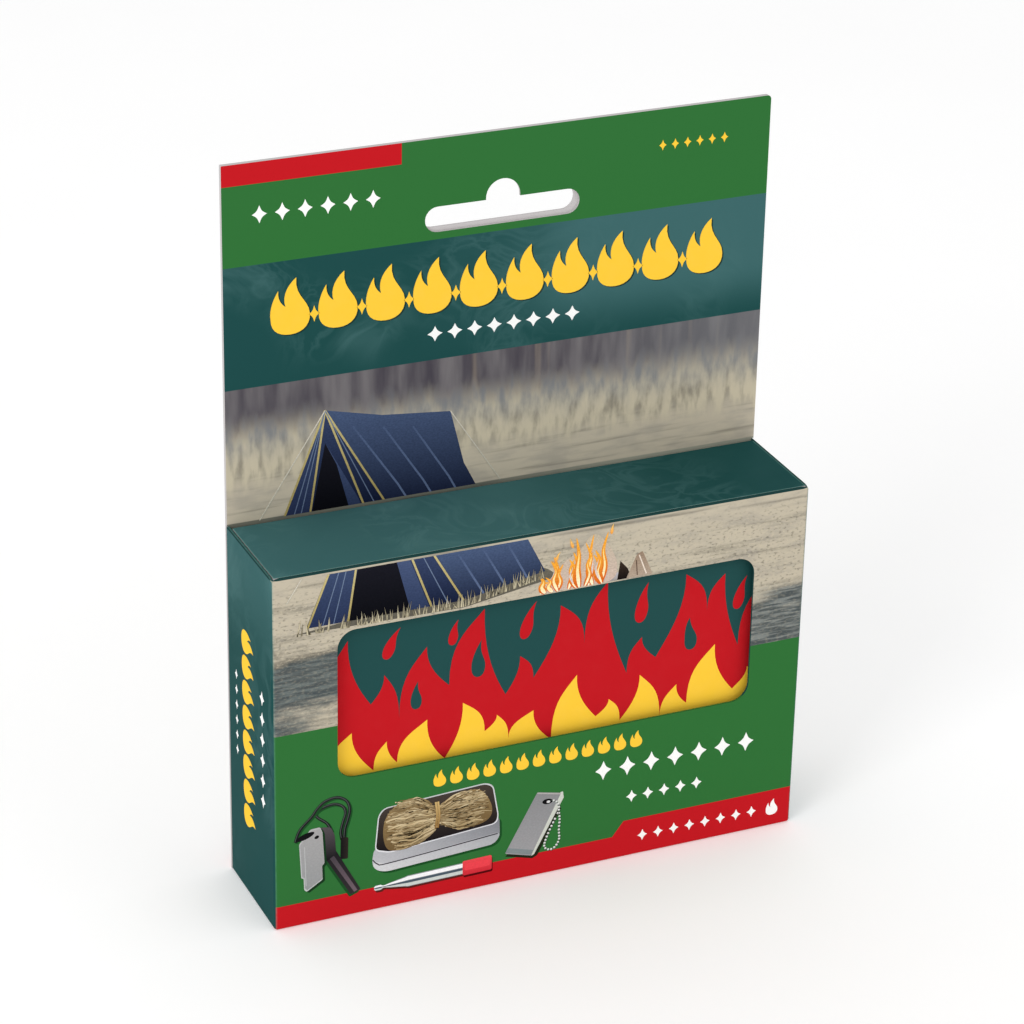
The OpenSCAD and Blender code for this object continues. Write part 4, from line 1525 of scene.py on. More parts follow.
class KitPictures:
    black = (22, 22, 24)
    shadow = (30, 78, 38)
    bundle_x = -22.8

    def draw(self, sheet: Picture) -> None:
        """Draws them all, left to right.

        Args:
            sheet: The sheet that they are printed on.
        """
        for drawing in (self.fire_steel, self.open_tin, self.blow_tube, self.bar_and_chain):
            sheet.level = 0
            drawing(sheet)

    def fire_steel(self, sheet: Picture) -> None:
        """Draws the sparking rod with its handle, striker and lanyard.

        Args:
            sheet: The sheet that it is printed on.
        """
        outer = ((-53.1, 19.4), (-52.1, 22.0), (-49.6, 24.5), (-48.5, 26.0), (-46.8, 27.4), (-44.3, 27.8),
                 (-42.3, 26.6), (-41.6, 24.5), (-42.0, 22.3), (-42.6, 20.3), (-42.8, 18.0))
        inner = ((-45.4, 20.2), (-46.4, 22.3), (-48.2, 23.9), (-48.8, 25.0), (-47.5, 26.0), (-44.9, 26.4),
                 (-43.0, 25.4), (-42.5, 23.8), (-43.0, 22.0), (-43.5, 19.8), (-43.3, 18.0))
        # The lanyard's loop: its shadow, the cord and its shine.
        for line in (curved(inner), curved(outer)):
            sheet.strokes((moved(line, 0.3, -0.3), 0.6, self.shadow), (line, 0.64, self.black, (40, 42, 42)),
                          (moved(line, -0.08, 0.1), 0.14, (78, 86, 82)))
        # Rod, handle, sleeve and striker, each over its shadow where it has one.
        rod = [(-47.2, 15.0), (-44.6, 15.8), (-39.3, 5.6), (-41.4, 4.8)]
        handle = [(-47.9, 21.7), (-45.6, 21.3), (-44.8, 19.4), (-44.5, 15.0), (-46.6, 13.6), (-47.6, 17.0)]
        blade = [(-52.3, 18.8), (-51.9, 10.9), (-51.4, 10.8), (-51.3, 8.1), (-50.8, 7.6), (-47.4, 9.7),
                 (-47.5, 12.9), (-47.0, 13.4), (-47.4, 20.6), (-47.9, 21.8), (-49.9, 21.7)]
        sleeve = [(-43.6, 13.5), (-42.0, 13.3), (-41.9, 18.2), (-43.5, 18.5)]
        gleam = [(-45.9, 14.2), (-45.0, 14.6), (-40.0, 5.6), (-40.7, 5.3)]
        plane = [(x * 0.95 - 2.4, z * 0.955 + 0.66) for x, z in blade]
        sheet.films((sleeve, 0.3, self.black, (46, 40, 36), 1.0),
                    (moved(rod, -0.3, -0.5), 0.3, self.shadow), (rod, 0.3, (52, 48, 50), (34, 32, 36)),
                    (gleam, 0, (112, 96, 104), (70, 64, 70)),
                    (handle, 0.5, self.black, (84, 78, 82)), (moved(blade, 0.5, -0.4), 0.25, (26, 56, 32)),
                    (blade, 0.25, (196, 198, 198), (178, 178, 178)),
                    (plane, 0.25, (150, 152, 153), (166, 164, 164)),
                    (band([(-51.2, 18.0), (-50.9, 9.0)], 0.16), 0, (186, 188, 188)),
                    (oval(-51.0, 20.3, 2.0, 0.62, 18), 0, self.black),
                    (oval(-48.6, 19.7, 0.5, 0.36, 20), 0, self.black))

    def open_tin(self, sheet: Picture) -> None:
        """Draws the open tin with its bundle of jute.

        Args:
            sheet: The sheet that it is printed on.
        """
        rim = [(-36.3, 13.7), (-35.6, 21.7), (-34.4, 23.2), (-12.4, 24.3), (-10.7, 23.4), (-9.4, 15.9),
               (-9.9, 14.3), (-33.2, 12.6)]
        bottom = [(-36.2, 9.3), (-34.0, 8.4), (-10.4, 9.6), (-9.1, 11.2)]
        wall = [(-36.4, 14.4), (-36.9, 11.0), *bottom, (-9.3, 16.0)]
        seam = curved([(-36.7, 11.7), (-35.7, 10.6), (-33.8, 10.25), (-22.0, 11.0), (-9.6, 11.9)])
        x, z = -22.9, 18.6
        mouth = [(x + (px - x) * 0.98, z + (pz - z) * 0.95) for px, pz in rim]
        foot = [(-36.8, 11.4), *bottom, (-9.3, 12.2), (-33.8, 10.3)]
        sheet.films((moved(wall, 0.5, -0.55), 1.2, self.shadow),
                    (wall, 1.2, (196, 196, 200), (126, 128, 134), 0.7),
                    (foot, 1.0, (214, 214, 216), (168, 170, 174), 0.8),
                    (band(seam, 0.24), 0, (52, 46, 54)), (rim, 1.0, (222, 222, 226), (200, 202, 204)),
                    (mouth, 0.8, (28, 24, 26), (70, 62, 56)))
        self.jute(sheet)

    def jute(self, sheet: Picture) -> None:
        """Draws the two tufts of the tied bundle, strand by strand.

        Args:
            sheet: The sheet that it is printed on.
        """
        chance = random.Random(7)
        left = [(-33.9, 13.4), (-34.7, 17.5), (-34.0, 21.4), (-31.0, 23.9), (-27.2, 24.4), (-23.8, 22.3),
                (-23.4, 16.6), (-25.4, 14.4), (-28.4, 12.8), (-31.6, 12.7)]
        right = [(-22.4, 21.7), (-18.0, 23.0), (-13.9, 23.6), (-11.4, 20.4), (-10.6, 16.8), (-12.6, 15.0),
                 (-16.2, 14.8), (-22.3, 16.6)]
        sheet.films(*((lobe, 1.8, (112, 90, 58), (150, 126, 86)) for lobe in (left, right)))
        base = sheet.level
        tones = (((92, 72, 44), (190, 166, 122)), ((130, 106, 68), (222, 204, 166)))
        for way, end, spread, middle, count in ((-1, 11.6, 5.5, 18.6, 190), (1, 11.4, 4.2, 19.2, 160)):
            for i in range(count):
                # Each strand runs out from the tie in its own lane, and a few are loose and curl.
                lane = chance.uniform(-1, 1)
                reach = end * (1.0 - 0.2 * lane * lane) * chance.uniform(0.55, 1.0)
                first = chance.uniform(0.0, 0.4) * reach
                loose = chance.random() < 0.14
                reach += 0.6 * loose
                curl = chance.uniform(-1.6, 1.6) * (2.2 if loose else 1.0)
                line = []
                for along in (first + (reach - first) * k / 5 for k in range(6)):
                    swell = 0.48 + 0.52 * min(1.0, along / 4.5)
                    wave = 0.25 * math.sin(along * 1.3 + i) + curl * max(0.0, along / end - 0.5) ** 2
                    line.append((self.bundle_x + way * along, middle + lane * spread * swell + wave))
                shade = chance.random()
                low, high = (blend(ink(*dark), ink(*pale), shade) for dark, pale in tones)
                sheet.level = base + i % 12
                sheet.patch(band(curved(line, 2), 0.12 if loose else chance.uniform(0.12, 0.34)), low, high)
        sheet.level = base + 13
        for dx in (-0.45, 0.05):
            tie = [(self.bundle_x + dx, 22.2), (-22.5 + dx, 19.2), (self.bundle_x + dx, 16.2)]
            sheet.strokes((curved(tie), 0.42, (140, 104, 56), (206, 174, 116)))

    def blow_tube(self, sheet: Picture) -> None:
        """Draws the telescopic blow tube with its red mouthpiece.

        Args:
            sheet: The sheet that it is printed on.
        """
        place = (-36.4, 5.0, 1.0)
        joints = [(0.0, 0.3), (0.3, 0.6), (1.4, 0.62), (1.9, 0.3), (2.3, 0.3), (3.4, 0.55), (6.6, 1.1),
                  (7.2, 1.28), (19.3, 1.32)]

        def stripe(low: float, high: float) -> list[Point2]:
            """Gives the stripe between two shares of the tube's half width."""
            sides = [(x, r * low) for x, r in joints] + [(x, r * high) for x, r in reversed(joints)]
            return moved(sides, *place)

        cap = rounded_box(19.2, -1.68, 25.6, 1.7, 0.35, 3)
        shine = rounded_box(19.6, -0.6, 25.2, 0.9, 0.3, 3)
        sheet.films((moved(stripe(-1.0, 1.0), 0.3, -0.5), 0, (96, 30, 30), (60, 50, 34)),
                    (stripe(-1.0, 1.0), 0, (150, 156, 158)), (stripe(-0.9, -0.35), 0, (206, 212, 208)),
                    (stripe(-0.3, 0.1), 0, (76, 90, 102)), (stripe(0.2, 0.85), 0, (250, 250, 252)),
                    (moved(cap, -36.2, 4.5, 1.0), 0, (84, 12, 16)),
                    (moved(cap, *place), 0, (206, 44, 56), (240, 76, 84)),
                    (moved(shine, *place), 0, (238, 70, 80)))

    def bar_and_chain(self, sheet: Picture) -> None:
        """Draws the magnesium bar with its ball chain.

        Args:
            sheet: The sheet that it is printed on.
        """
        sheet.films(([(-7.8, 6.0), (-1.8, 4.3), (-0.7, 4.8), (4.4, 14.6), (3.4, 18.0)], 0, (34, 40, 26)),
                    ([(-2.1, 4.9), (-1.4, 5.2), (4.9, 17.2), (4.7, 18.6), (4.2, 18.6)], 0, (204, 208, 198)),
                    ([(-7.9, 6.7), (-2.1, 5.0), (4.3, 18.4), (-1.0, 19.6)], 0.3,
                     (158, 158, 160), (138, 138, 140)),
                    ([(-7.8, 6.9), (-2.1, 5.2), (-1.6, 6.2), (-7.3, 7.9)], 0, (130, 140, 142)),
                    (band([(-1.0, 19.4), (4.2, 18.2)], 0.3), 0, (178, 174, 172)),
                    (oval(1.3, 17.0, 1.15, 0.62, -4), 0, (20, 20, 22)),
                    (oval(1.5, 16.9, 0.4, 0.3, -4), 0, (214, 214, 214)))
        tail = [(2.0, 17.1), (3.2, 16.6), (3.9, 15.0), (3.6, 13.6)]
        loop = [(3.4, 13.2), (2.4, 11.2), (1.4, 8.9), (0.8, 6.9), (1.2, 5.9), (2.3, 5.5), (3.4, 6.1),
                (4.1, 7.6), (4.0, 9.8), (4.1, 12.2), (3.9, 14.0)]
        base = sheet.level
        for line in (curved(tail, 12), curved(loop, 12)):
            sheet.level = base
            sheet.strokes((line, 0.16, (70, 76, 72)))
            run = 0.0
            for a, b in zip(line, line[1:]):
                # The balls sit along the wire, one bead's step apart.
                run += math.dist(a, b)
                if run > 0.66:
                    run, sheet.level = 0.0, base + 1
                    sheet.films((oval(b[0] + 0.08, b[1] - 0.1, 0.27, 0.27), 0, (44, 56, 46)),
                                (oval(*b, 0.25, 0.25), 0, (150, 158, 150), (250, 250, 248)))


@dataclass
class CampPicture:
    """The camp in the printed meadow: a small tent and a log fire, in the maker's own layout."""

    header_foot: float = 78.2
    front_top: float = 77.2
    tent_foot: float = 66.4
    peak: float = 99.5
    left: float = -50.5
    right: float = -17.5
    tip: float = -37.0
    ridge: float = -10.5
    depth: float = 17.0
    fire_foot: float = 64.7
    straws: int = 150
    tongues: int = 17

    def draw(self, header: Picture, front: Picture) -> None:
        """Draws the tent over both boards, and the fire on the front.

        Args:
            header: The header's sheet.
            front: The front's sheet.
        """
        self.tent(header, self.header_foot, self.peak + self.depth)
        self.tent(front, 0.0, self.front_top)
        self.fire(front)

    def tent(self, sheet: Picture, floor: float, ceiling: float) -> None:
        """Draws the part of the tent that lies between two heights.

        Args:
            sheet: The sheet that it is printed on.
            floor: Lowest height that is drawn.
            ceiling: Highest height that is drawn.
        """
        foot, peak, left, right = self.tent_foot, self.peak, self.left, self.right
        tip, ridge = self.tip, self.ridge
        edge = right + self.depth
        chance = random.Random(3)

        def show(corners: Sequence[Point2], low: Colour, high: Colour) -> None:
            """Draws what is left of a polygon between the two heights."""
            if len(shown := cut(cut(corners, floor, 1.0), ceiling, -1.0)) > 2:
                sheet.patch(shown, low, high)

        def paint(corners: Sequence[Point2], low: tuple[int, ...], high: tuple[int, ...]) -> None:
            """Draws it in the inks of two colours."""
            show(corners, ink(*low), ink(*high))

        gap = [(-29.0, foot), (-34.6, peak - 12.0), (tip, peak - 7.0)]
        ground = [(left - 2.5, foot - 1.0), (right, foot - 1.6), (edge + 3.0, foot + 1.6), (edge, foot + 4.0)]
        side = [(right, foot), (edge, foot + 3.2), (ridge + 3.0, foot + 17.0), (ridge, peak - 4.4),
                (tip + 12.0, peak - 2.9), (tip, peak)]
        # The trodden ground, the side wall and its seams.
        paint(soft(ground, 1.0), (96, 92, 82), (104, 100, 88))
        paint(side, (30, 38, 62), (72, 88, 120))
        for k in (1, 3, 5):
            share = 0.1 + 0.12 * k
            a = (right + 1.6 + 2.3 * k, foot + 0.35 + 0.43 * k)
            b = (tip + (ridge - tip) * share, peak - 3.4 - 4.4 * share)
            middle = ((a[0] + b[0]) / 2 + 0.7, (a[1] + b[1]) / 2)
            paint(band([a, middle, b], 0.4), (92, 108, 140), (72, 88, 120))
        # The front, its lit edge, the dark way in and the flap that hangs beside it.
        paint([(left, foot), (right, foot), (tip, peak)], (22, 30, 54), (54, 66, 98))
        paint([(left, foot), (left + 9.0, foot), (tip, peak)], (40, 50, 80), (60, 74, 106))
        paint([(-42.0, foot), *gap], (12, 13, 18), (26, 26, 34))
        paint([gap[0], (-25.0, foot), (-30.0, foot + 13.0), gap[2], gap[1]], (46, 58, 88), (70, 84, 118))
        # Piping, seams and guy ropes.
        piping, seam, rope = (((164, 148, 92), (196, 182, 128)), ((96, 112, 140), (110, 126, 152)),
                              ((196, 192, 176), (206, 200, 186)))
        for starts, width, tones in (((left + 0.3, left + 8.6, -24.6, right - 0.3), 0.42, piping),
                                     ((left + 3.4, left + 5.6, right - 3.6), 0.2, seam)):
            for start in starts:
                paint(band([(start, foot), (tip, peak)], width), *tones)
        for line in ([(ridge, peak - 4.4), (ridge + 11.0, foot + 12.0)],
                     [(tip, peak), (left - 4.0, foot + 6.0)]):
            paint(band(line, 0.22), *rope)
        base = sheet.level
        # Straw along the tent's foot.
        for i in range(self.straws):
            x = chance.uniform(left - 2.0, edge + 1.0)
            z = foot - 1.4 + 3.4 * max(0.0, (x - right) / self.depth) * 0.94
            tall, lean = chance.uniform(1.0, 3.4), chance.uniform(-0.8, 0.8)
            sheet.level = base + i % 6
            tone = blend(ink(120, 112, 92), ink(206, 196, 166), chance.random())
            show([(x - 0.14, z), (x + 0.14, z), (x + lean, z + tall)], tone, tone)

    def fire(self, sheet: Picture) -> None:
        """Draws the log fire over its pale ash.

        Args:
            sheet: The sheet that it is printed on.
        """
        sheet.level = 0
        foot = self.fire_foot
        chance = random.Random(21)
        # The ash, the logs with their highlights, and the haze behind the flames.
        sheet.films(([(0.4, foot), (22.6, foot), (16.0, 66.4), (9.0, 66.2), (5.4, 66.6)], 0.8,
                     (150, 144, 140), (196, 192, 196)),
                    ([(1.2, foot), (8.0, foot), (6.6, 66.2), (3.6, 65.8)], 0.6,
                     (196, 158, 152), (214, 196, 196)),
                    ([(15.2, foot), (18.4, foot), (17.4, 67.0), (15.8, 68.8)], 0, (22, 18, 18), (58, 46, 38)),
                    ([(17.2, foot), (23.0, foot), (20.6, 70.2), (19.4, 69.6)], 0.3,
                     (176, 158, 140), (150, 128, 108)),
                    (band([(21.6, 65.0), (19.9, 69.4)], 0.26), 0, (232, 218, 202)),
                    (band([(19.6, 65.0), (19.3, 68.4)], 0.2), 0, (92, 72, 58)),
                    ([(-1.5, foot), (14.8, foot), (15.4, 68.6), (12.6, 74.0), (9.6, 76.6), (7.0, 72.6),
                      (3.4, 71.0), (0.4, 67.4)], 2.2, (204, 182, 168), (190, 178, 156)))
        base = sheet.level
        # Flames that sway as they rise, each with a pale core, and now and then a wisp of smoke.
        bends = ((0, 0), (1, 0.34), (0.5, 0.66), (1.7, 1))
        for i, x in enumerate(sorted(chance.uniform(-1.6, 15.0) for _ in range(self.tongues))):
            sheet.level = base + 3 * (i % 6)
            tall = (11.6 - 0.11 * abs(x - 9.6) ** 1.7) * chance.uniform(0.45, 1.0)
            sway = chance.uniform(0.4, 1.1) * chance.choice((-1, 1))
            path = curved([(x + out * sway, foot + up * tall) for out, up in bends], 4)
            sheet.strokes((path, chance.uniform(1.2, 2.3), (214, 92, 30), (250, 178, 62)),
                          (path[:-3], chance.uniform(0.5, 1.0), (255, 244, 206), (255, 214, 104)), taper=True)
            if i % 4 == 0:
                wisp = moved(path[1:-4], 0.5 * sway, 0.6)
                sheet.strokes((wisp, 0.6, (226, 212, 204), (204, 190, 176)), taper=True)
        for x, z, turn in ((1.6, 71.2, -24), (5.4, 73.6, 20), (13.6, 75.2, -8)):
            sheet.films((moved(flame(0, 0, 0.6, 2.2, 1.0), x, z, turn), 0, (240, 160, 70), (250, 206, 120)))


def box_mm(node: str) -> tuple[Vector, Vector]:
    """Gives a node's lowest and highest corners in millimetres."""
    low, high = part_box(node)
    return low * PER_MM, high * PER_MM


def place_piece(piece: bpy.types.Object, body: str, slot: str, *replaced: str) -> None:
    """Gives a piece its body, and hides the nodes that it stands for.

    Args:
        piece: The piece.
        body: The body that it rides on.
        slot: The record's material slot; not used.
        *replaced: Nodes that it replaces.
    """
    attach(piece, body)
    if replaced:
        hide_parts(*replaced)
    LOG.info("%s: %d faces on %s", piece.name, len(piece.data.polygons), body)


@dataclass
class Carton:
    """The printed carton: sleeve, header, closures, dust flaps and everything printed on them."""

    width: float = 115.0
    height: float = 78.0
    total: float = 152.5
    board: float = 0.5
    corner_r: float = 0.8
    head_nick: float = 0.1
    window: tuple[float, float, float, float] = (-44.1, 31.6, 45.9, 64.4)
    slot_half: float = 16.3
    slot_low: float = 133.4
    slot_high: float = 138.6
    hump_r: float = 3.6
    hump_rise: float = 0.4
    back_slot: Point2 = (-1.0, 0.9)
    back_hump: float = 1.3
    tongue_lean: float = math.radians(11.0)
    dust_slant: float = 7.7
    dust_r: float = 2.0
    dust_play: float = 0.04

    def build(self) -> None:
        """Builds every board and print."""
        self.boards()
        self.closures()
        self.dust_flaps()
        self.pictures()
        self.ornaments()
        self.back_panels()

    def face(self, side: str) -> Face:
        """Gives the face that a side's drawings lie on.

        Args:
            side: The side's name.

        Returns:
            The face.
        """
        if side in ("left", "right"):
            way = 1.0 if side == "right" else -1.0
            return Face(Axis.X, way * self.width / 2, way)
        if side == "back":
            return Face(Axis.Y, box_mm("fifth_panel")[1].y, 1.0)
        return Face(Axis.Y, box_mm("back_panel" if side == "header" else "front_panel")[0].y, -1.0)

    def outline(self, left_fold: float) -> list[Point2]:
        """Gives a back layer's outline, which is narrower beside the sides that fold into it.

        Args:
            left_fold: Where its left side is below the header.

        Returns:
            The outline, with no point on the one before it.
        """
        w, r, fold = self.width / 2, self.corner_r, self.width / 2 - self.board
        head = arc((w - r, self.total - r), r, 0, 90, 6)
        head += [(-w + self.head_nick, self.total), (-w, self.total - self.head_nick)]
        return without_doubles([(fold, 0.0), (fold, self.height), (w, self.height), *head, (-w, self.height),
                                (left_fold, self.height), (left_fold, 0.0)])

    def slot_outline(self, shift: Point2 = (0.0, 0.0), wide: float = 0.0) -> list[Point2]:
        """Gives the hang slot: a round-ended bar with a hump over its middle, anticlockwise.

        Args:
            shift: How far it is moved.
            wide: How much wider its hump is at the right.

        Returns:
            The outline.
        """
        r, middle = (self.slot_high - self.slot_low) / 2, (self.slot_high + self.slot_low) / 2
        hump = arc((0, self.slot_high + self.hump_rise), self.hump_r, 0, 180, 16)
        ring = arc((self.slot_half - r, middle), r, -90, 90, 12) + [(self.hump_r + wide, self.slot_high)]
        ring += [(x + (wide if x > 0 else 0.0), z) for x, z in hump] + [(-self.hump_r, self.slot_high)]
        return moved(without_doubles(ring + arc((-self.slot_half + r, middle), r, 90, 270, 12)), *shift)

    def boards(self) -> None:
        """Builds the wrapped front and sides, and the back's two layers, which rise as the header."""
        low, high = box_mm("front_panel")
        sides = ("left_side_panel", "right_side_panel")
        backs = [box_mm(side)[1].y for side in sides]
        sleeve = Sleeve(high.x, low.y, *backs, high.z, self.board, self.window)
        place_piece(sleeve.build(), "carton", "front_print", "front_panel", *sides)
        w = self.width / 2
        front = [self.outline(-w + self.board), self.slot_outline()]
        back = [[(-x, z) for x, z in reversed(loop)]
                for loop in (self.outline(-w), self.slot_outline(self.back_slot, self.back_hump))]
        for name, side, loops, finish, slot, node in (
                ("header_front", "header", front, HEADER_PRINT, "header_print", "back_panel"),
                ("header_back", "back", back, BACK_PRINT, "back_print", "fifth_panel")):
            place_piece(plate(name, self.face(side), loops, -self.board, 0.0, finish), "carton", slot, node)

    def closures(self) -> None:
        """Builds the closing flaps with their tuck tongues."""
        low, high = box_mm("top_flap")
        tongue_low, tongue_high = box_mm("top_tuck_tongue")
        for end, finish in (("top", TOP_LEAF), ("bottom", BOTTOM_LEAF)):
            shape = Closure(f"{end}_closure", high.x, low.y, high.y, self.height, self.board, tongue_low.z,
                            tongue_high.x, self.tongue_lean, at_foot=end == "bottom")
            place_piece(shape.build(finish), shape.name, "teal_print", f"{end}_flap", f"{end}_tuck_tongue")

    def dust_flaps(self) -> None:
        """Builds the dust flaps, a little thinner than the board so that none lies in another's plane."""
        low, high = box_mm("top_dust_flap_left")
        corner = arc((high.x - self.dust_r, high.y - self.dust_r), self.dust_r, 0, 90, 6)
        outline = [(low.x, low.y), (high.x, low.y + self.dust_slant), *corner, (low.x, high.y)]
        top = high.z - self.dust_play
        for end, face in (("top", Face(Axis.Z, top, 1.0)), ("bottom", Face(Axis.Z, self.height - top, -1.0))):
            for side, mirror in (("left", 1), ("right", -1)):
                way = int(mirror * face.outward)
                loop = [(x * way, y) for x, y in outline][::way]
                flap = plate(f"{end}_dust_{side}", face, [loop], self.dust_play - self.board, 0.0, TEAL_PAPER)
                place_piece(flap, f"{end}_dust_{side}", "teal_print", f"{end}_dust_flap_{side}")

    def pictures(self) -> None:
        header = Picture("header_picture", self.face("header"), CAMP_PRINT)
        front = Picture("front_picture", self.face("front"), CAMP_PRINT)
        kit = Picture("kit_picture", front.face)
        CampPicture().draw(header, front)
        KitPictures().draw(kit)
        for sheet, slot in ((header, "header_print"), (front, "front_print"), (kit, "front_print")):
            place_piece(sheet.build(), "carton", slot)

    def ornaments(self) -> None:
        """Prints plain rows of flames and diamonds on every side."""
        tall, small, mid = blaze(8.0, 11.6), blaze(2.7, 3.8), blaze(5.0, 6.6)
        title = (YELLOW_INK, moved(tall, -44.0, 116.6), (9.8, 0), 10)
        subtitle = (WHITE_INK, lozenge(-14.0, 112.2, 3.2, 3.2), (4.2, 0), 8)
        rows = {
            ("header", "header_print"): (
                ("title_shade", SHADE_INK, moved(tall, -43.7, 116.35), (9.8, 0), 10),
                ("title_flames", *title),
                ("title_sparks", YELLOW_INK, lozenge(-39.1, 120.2, 2.2, 3.4), (9.8, 0), 9),
                ("subtitle_diamonds", *subtitle),
                ("corner_diamonds", WHITE_INK, lozenge(-50.0, 142.0, 3.0, 3.6), (4.6, 0), 6),
                ("corner_sparks", YELLOW_INK, lozenge(34.0, 145.0, 1.6, 2.2), (2.7, 0), 6)),
            ("front", "front_print"): (
                ("front_flames", YELLOW_INK, moved(small, -22.4, 25.6), (3.6, 0), 13),
                ("front_diamonds", WHITE_INK, lozenge(13.6, 21.6, 3.6, 4.4), (5.4, 0), 7),
                ("front_small_diamonds", WHITE_INK, lozenge(20.2, 14.2, 2.4, 2.8), (3.7, 0), 5),
                ("foot_diamonds", WHITE_INK, lozenge(23.0, 4.4, 2.2, 2.6), (3.6, 0), 8),
                ("foot_flame", WHITE_INK, moved(small, 53.0, 2.6), (0, 0), 1)),
            ("left", "teal_print"): (
                ("left_flames", YELLOW_INK, moved(mid, -4.4, 57.4, -90), (0, -5.6), 8),
                ("left_diamonds", WHITE_INK, lozenge(7.0, 49.5, 2.6, 3.2), (0, -4.6), 6),
                ("left_small_diamonds", WHITE_INK, lozenge(-7.8, 47.5, 1.6, 2.2), (0, -3.4), 6)),
            ("right", "teal_print"): (
                ("right_flames", YELLOW_INK, moved(mid, 4.4, 18.2, 90), (0, 5.6), 8),
                ("right_diamonds", WHITE_INK, lozenge(-7.0, 26.5, 2.6, 3.2), (0, 4.6), 6),
                ("right_small_diamonds", WHITE_INK, lozenge(7.8, 30.5, 1.6, 2.2), (0, 3.4), 6)),
            ("back", "back_print"): (("back_flames", *title), ("back_diamonds", *subtitle)),
        }
        for (side, slot), group in rows.items():
            for name, finish, *rest in group:
                row = Ornament(name, finish, self.face(side), *rest)
                place_piece(row.build(), "carton", slot)

    def back_panels(self) -> None:
        """Prints plain pale panels on the back, and flames on the upper one."""
        sheet = Picture("back_panels", self.face("back"))
        for corners in ((-52.0, 60.0, 52.0, 101.0), (-52.0, 12.0, -2.0, 54.0), (2.0, 12.0, 52.0, 54.0)):
            sheet.films((rounded_box(*corners, 2.0), 0, (226, 226, 220), (238, 238, 233)))
        yellow, red, pale = Ink.YELLOW.value, Ink.RED.value, ink(255, 236, 160)
        for x, width, tall, short, lick in ((-30.0, 8.0, 24.0, 13.0, -1.0), (0.0, 11.0, 28.0, 16.0, 1.0),
                                            (30.0, 8.0, 24.0, 13.0, 1.0)):
            sheet.patch(flame(x, 66.0, width * 1.7, tall, lick), yellow, red)
            sheet.patch(flame(x, 67.0, width, short, lick), pale, yellow)
        place_piece(sheet.build(), "carton", "back_print")


def without_doubles(points: Sequence[Point2]) -> list[Point2]:
    """Drops a point that lies on the one before it."""
    return [p for i, p in enumerate(points) if math.dist(p, points[i - 1]) > TINY]


@dataclass
class Flames:
    """The lid's print: red tongues over teal and yellow ones over red, in the maker's own layout."""

    reach: float = 53.2
    foot: float = 3.4
    corner_r: float = 7.0
    red_end: float = 48.0
    yellow_end: float = 35.0
    red: tuple[Tongue, ...] = (
        (-53.2, 38.0, -50.6, 51.0, -1), (-47.8, 40.5, -41.2, 61.0, 1), (-36.4, 46.0, -33.6, 52.0, -1),
        (-30.4, 41.5, -24.6, 56.5, 1), (-19.8, 47.0, -12.4, 62.6, 1), (-7.6, 42.5, -4.6, 50.5, -1),
        (-1.6, 45.0, 4.0, 60.2, -1), (9.4, 50.6, 14.2, 63.6, 1), (19.0, 42.0, 22.2, 49.6, 1),
        (25.4, 44.4, 31.6, 62.0, -1), (36.6, 52.6, 40.4, 60.6, 1), (44.0, 43.6, 49.6, 58.0, 1))
    yellow: tuple[Tongue, ...] = (
        (-53.2, 31.0, -49.0, 37.4, -1), (-45.2, 32.4, -40.4, 40.4, 1), (-35.8, 31.0, -33.0, 37.0, 1),
        (-30.8, 31.8, -24.4, 40.2, 1), (-20.6, 30.6, -16.8, 42.4, -1), (-12.0, 35.0, -9.4, 38.2, -1),
        (-6.8, 32.2, -1.4, 37.6, 1), (2.6, 30.2, 8.0, 43.8, 1), (12.4, 33.4, 15.2, 36.8, -1),
        (17.8, 31.4, 22.0, 41.0, -1), (26.8, 30.2, 30.4, 37.2, 1), (32.8, 32.4, 38.8, 44.8, 1),
        (43.2, 33.6, 46.4, 38.2, -1), (49.0, 34.4, 51.6, 40.0, 1))
    holes: tuple[tuple[float, ...], ...] = (
        (-26.8, 43.0, 2.4, 6.2, 0.8), (-13.6, 47.6, 3.0, 8.2, 1.0), (33.2, 44.6, 2.8, 7.4, -0.6))
    drops: tuple[tuple[float, ...], ...] = (
        (-33.4, 55.4, 2.4, 7.2, -22), (-47.6, 55.8, 1.8, 4.8, 16), (-4.0, 54.2, 2.6, 8.4, -16),
        (-19.4, 55.8, 2.0, 5.6, -12), (21.4, 53.0, 2.8, 9.0, -10), (43.2, 52.0, 2.4, 7.6, -14))

    def edge_to_foot(self, tongues: Sequence[Tongue], last: float) -> list[Point2]:
        """Closes a row of tongues down to the lid's foot, anticlockwise.

        Args:
            tongues: The tongues.
            last: Height of the valley after them.

        Returns:
            The outline.
        """
        r = self.corner_r
        corners = arc((-self.reach + r, self.foot + r), r, 180, 270, 6)
        corners += arc((self.reach - r, self.foot + r), r, 270, 360, 6)
        return corners + flame_edge(tongues, (self.reach, last))[::-1]

    def build(self, face: Face) -> None:
        """Prints the flames on the lid's face.

        Args:
            face: The lid's face.
        """
        red = MeshMaker()
        field = [self.edge_to_foot(self.red, self.red_end), *(flame(*hole) for hole in self.holes)]
        lay(red, face, field, -FILM, FILM)
        for x, z, w, h, turn in self.drops:
            lay(red, face, [moved(flame(0, 0, w, h, -0.05 * turn), x, z, turn)], -FILM, FILM)
        yellow = [self.edge_to_foot(self.yellow, self.yellow_end)]
        for piece in (red.build("lid_red_flames", RED_INK),
                      plate("lid_yellow_flames", face, yellow, -FILM, 2 * FILM, YELLOW_INK)):
            place_piece(piece, "tin", "tin_print")


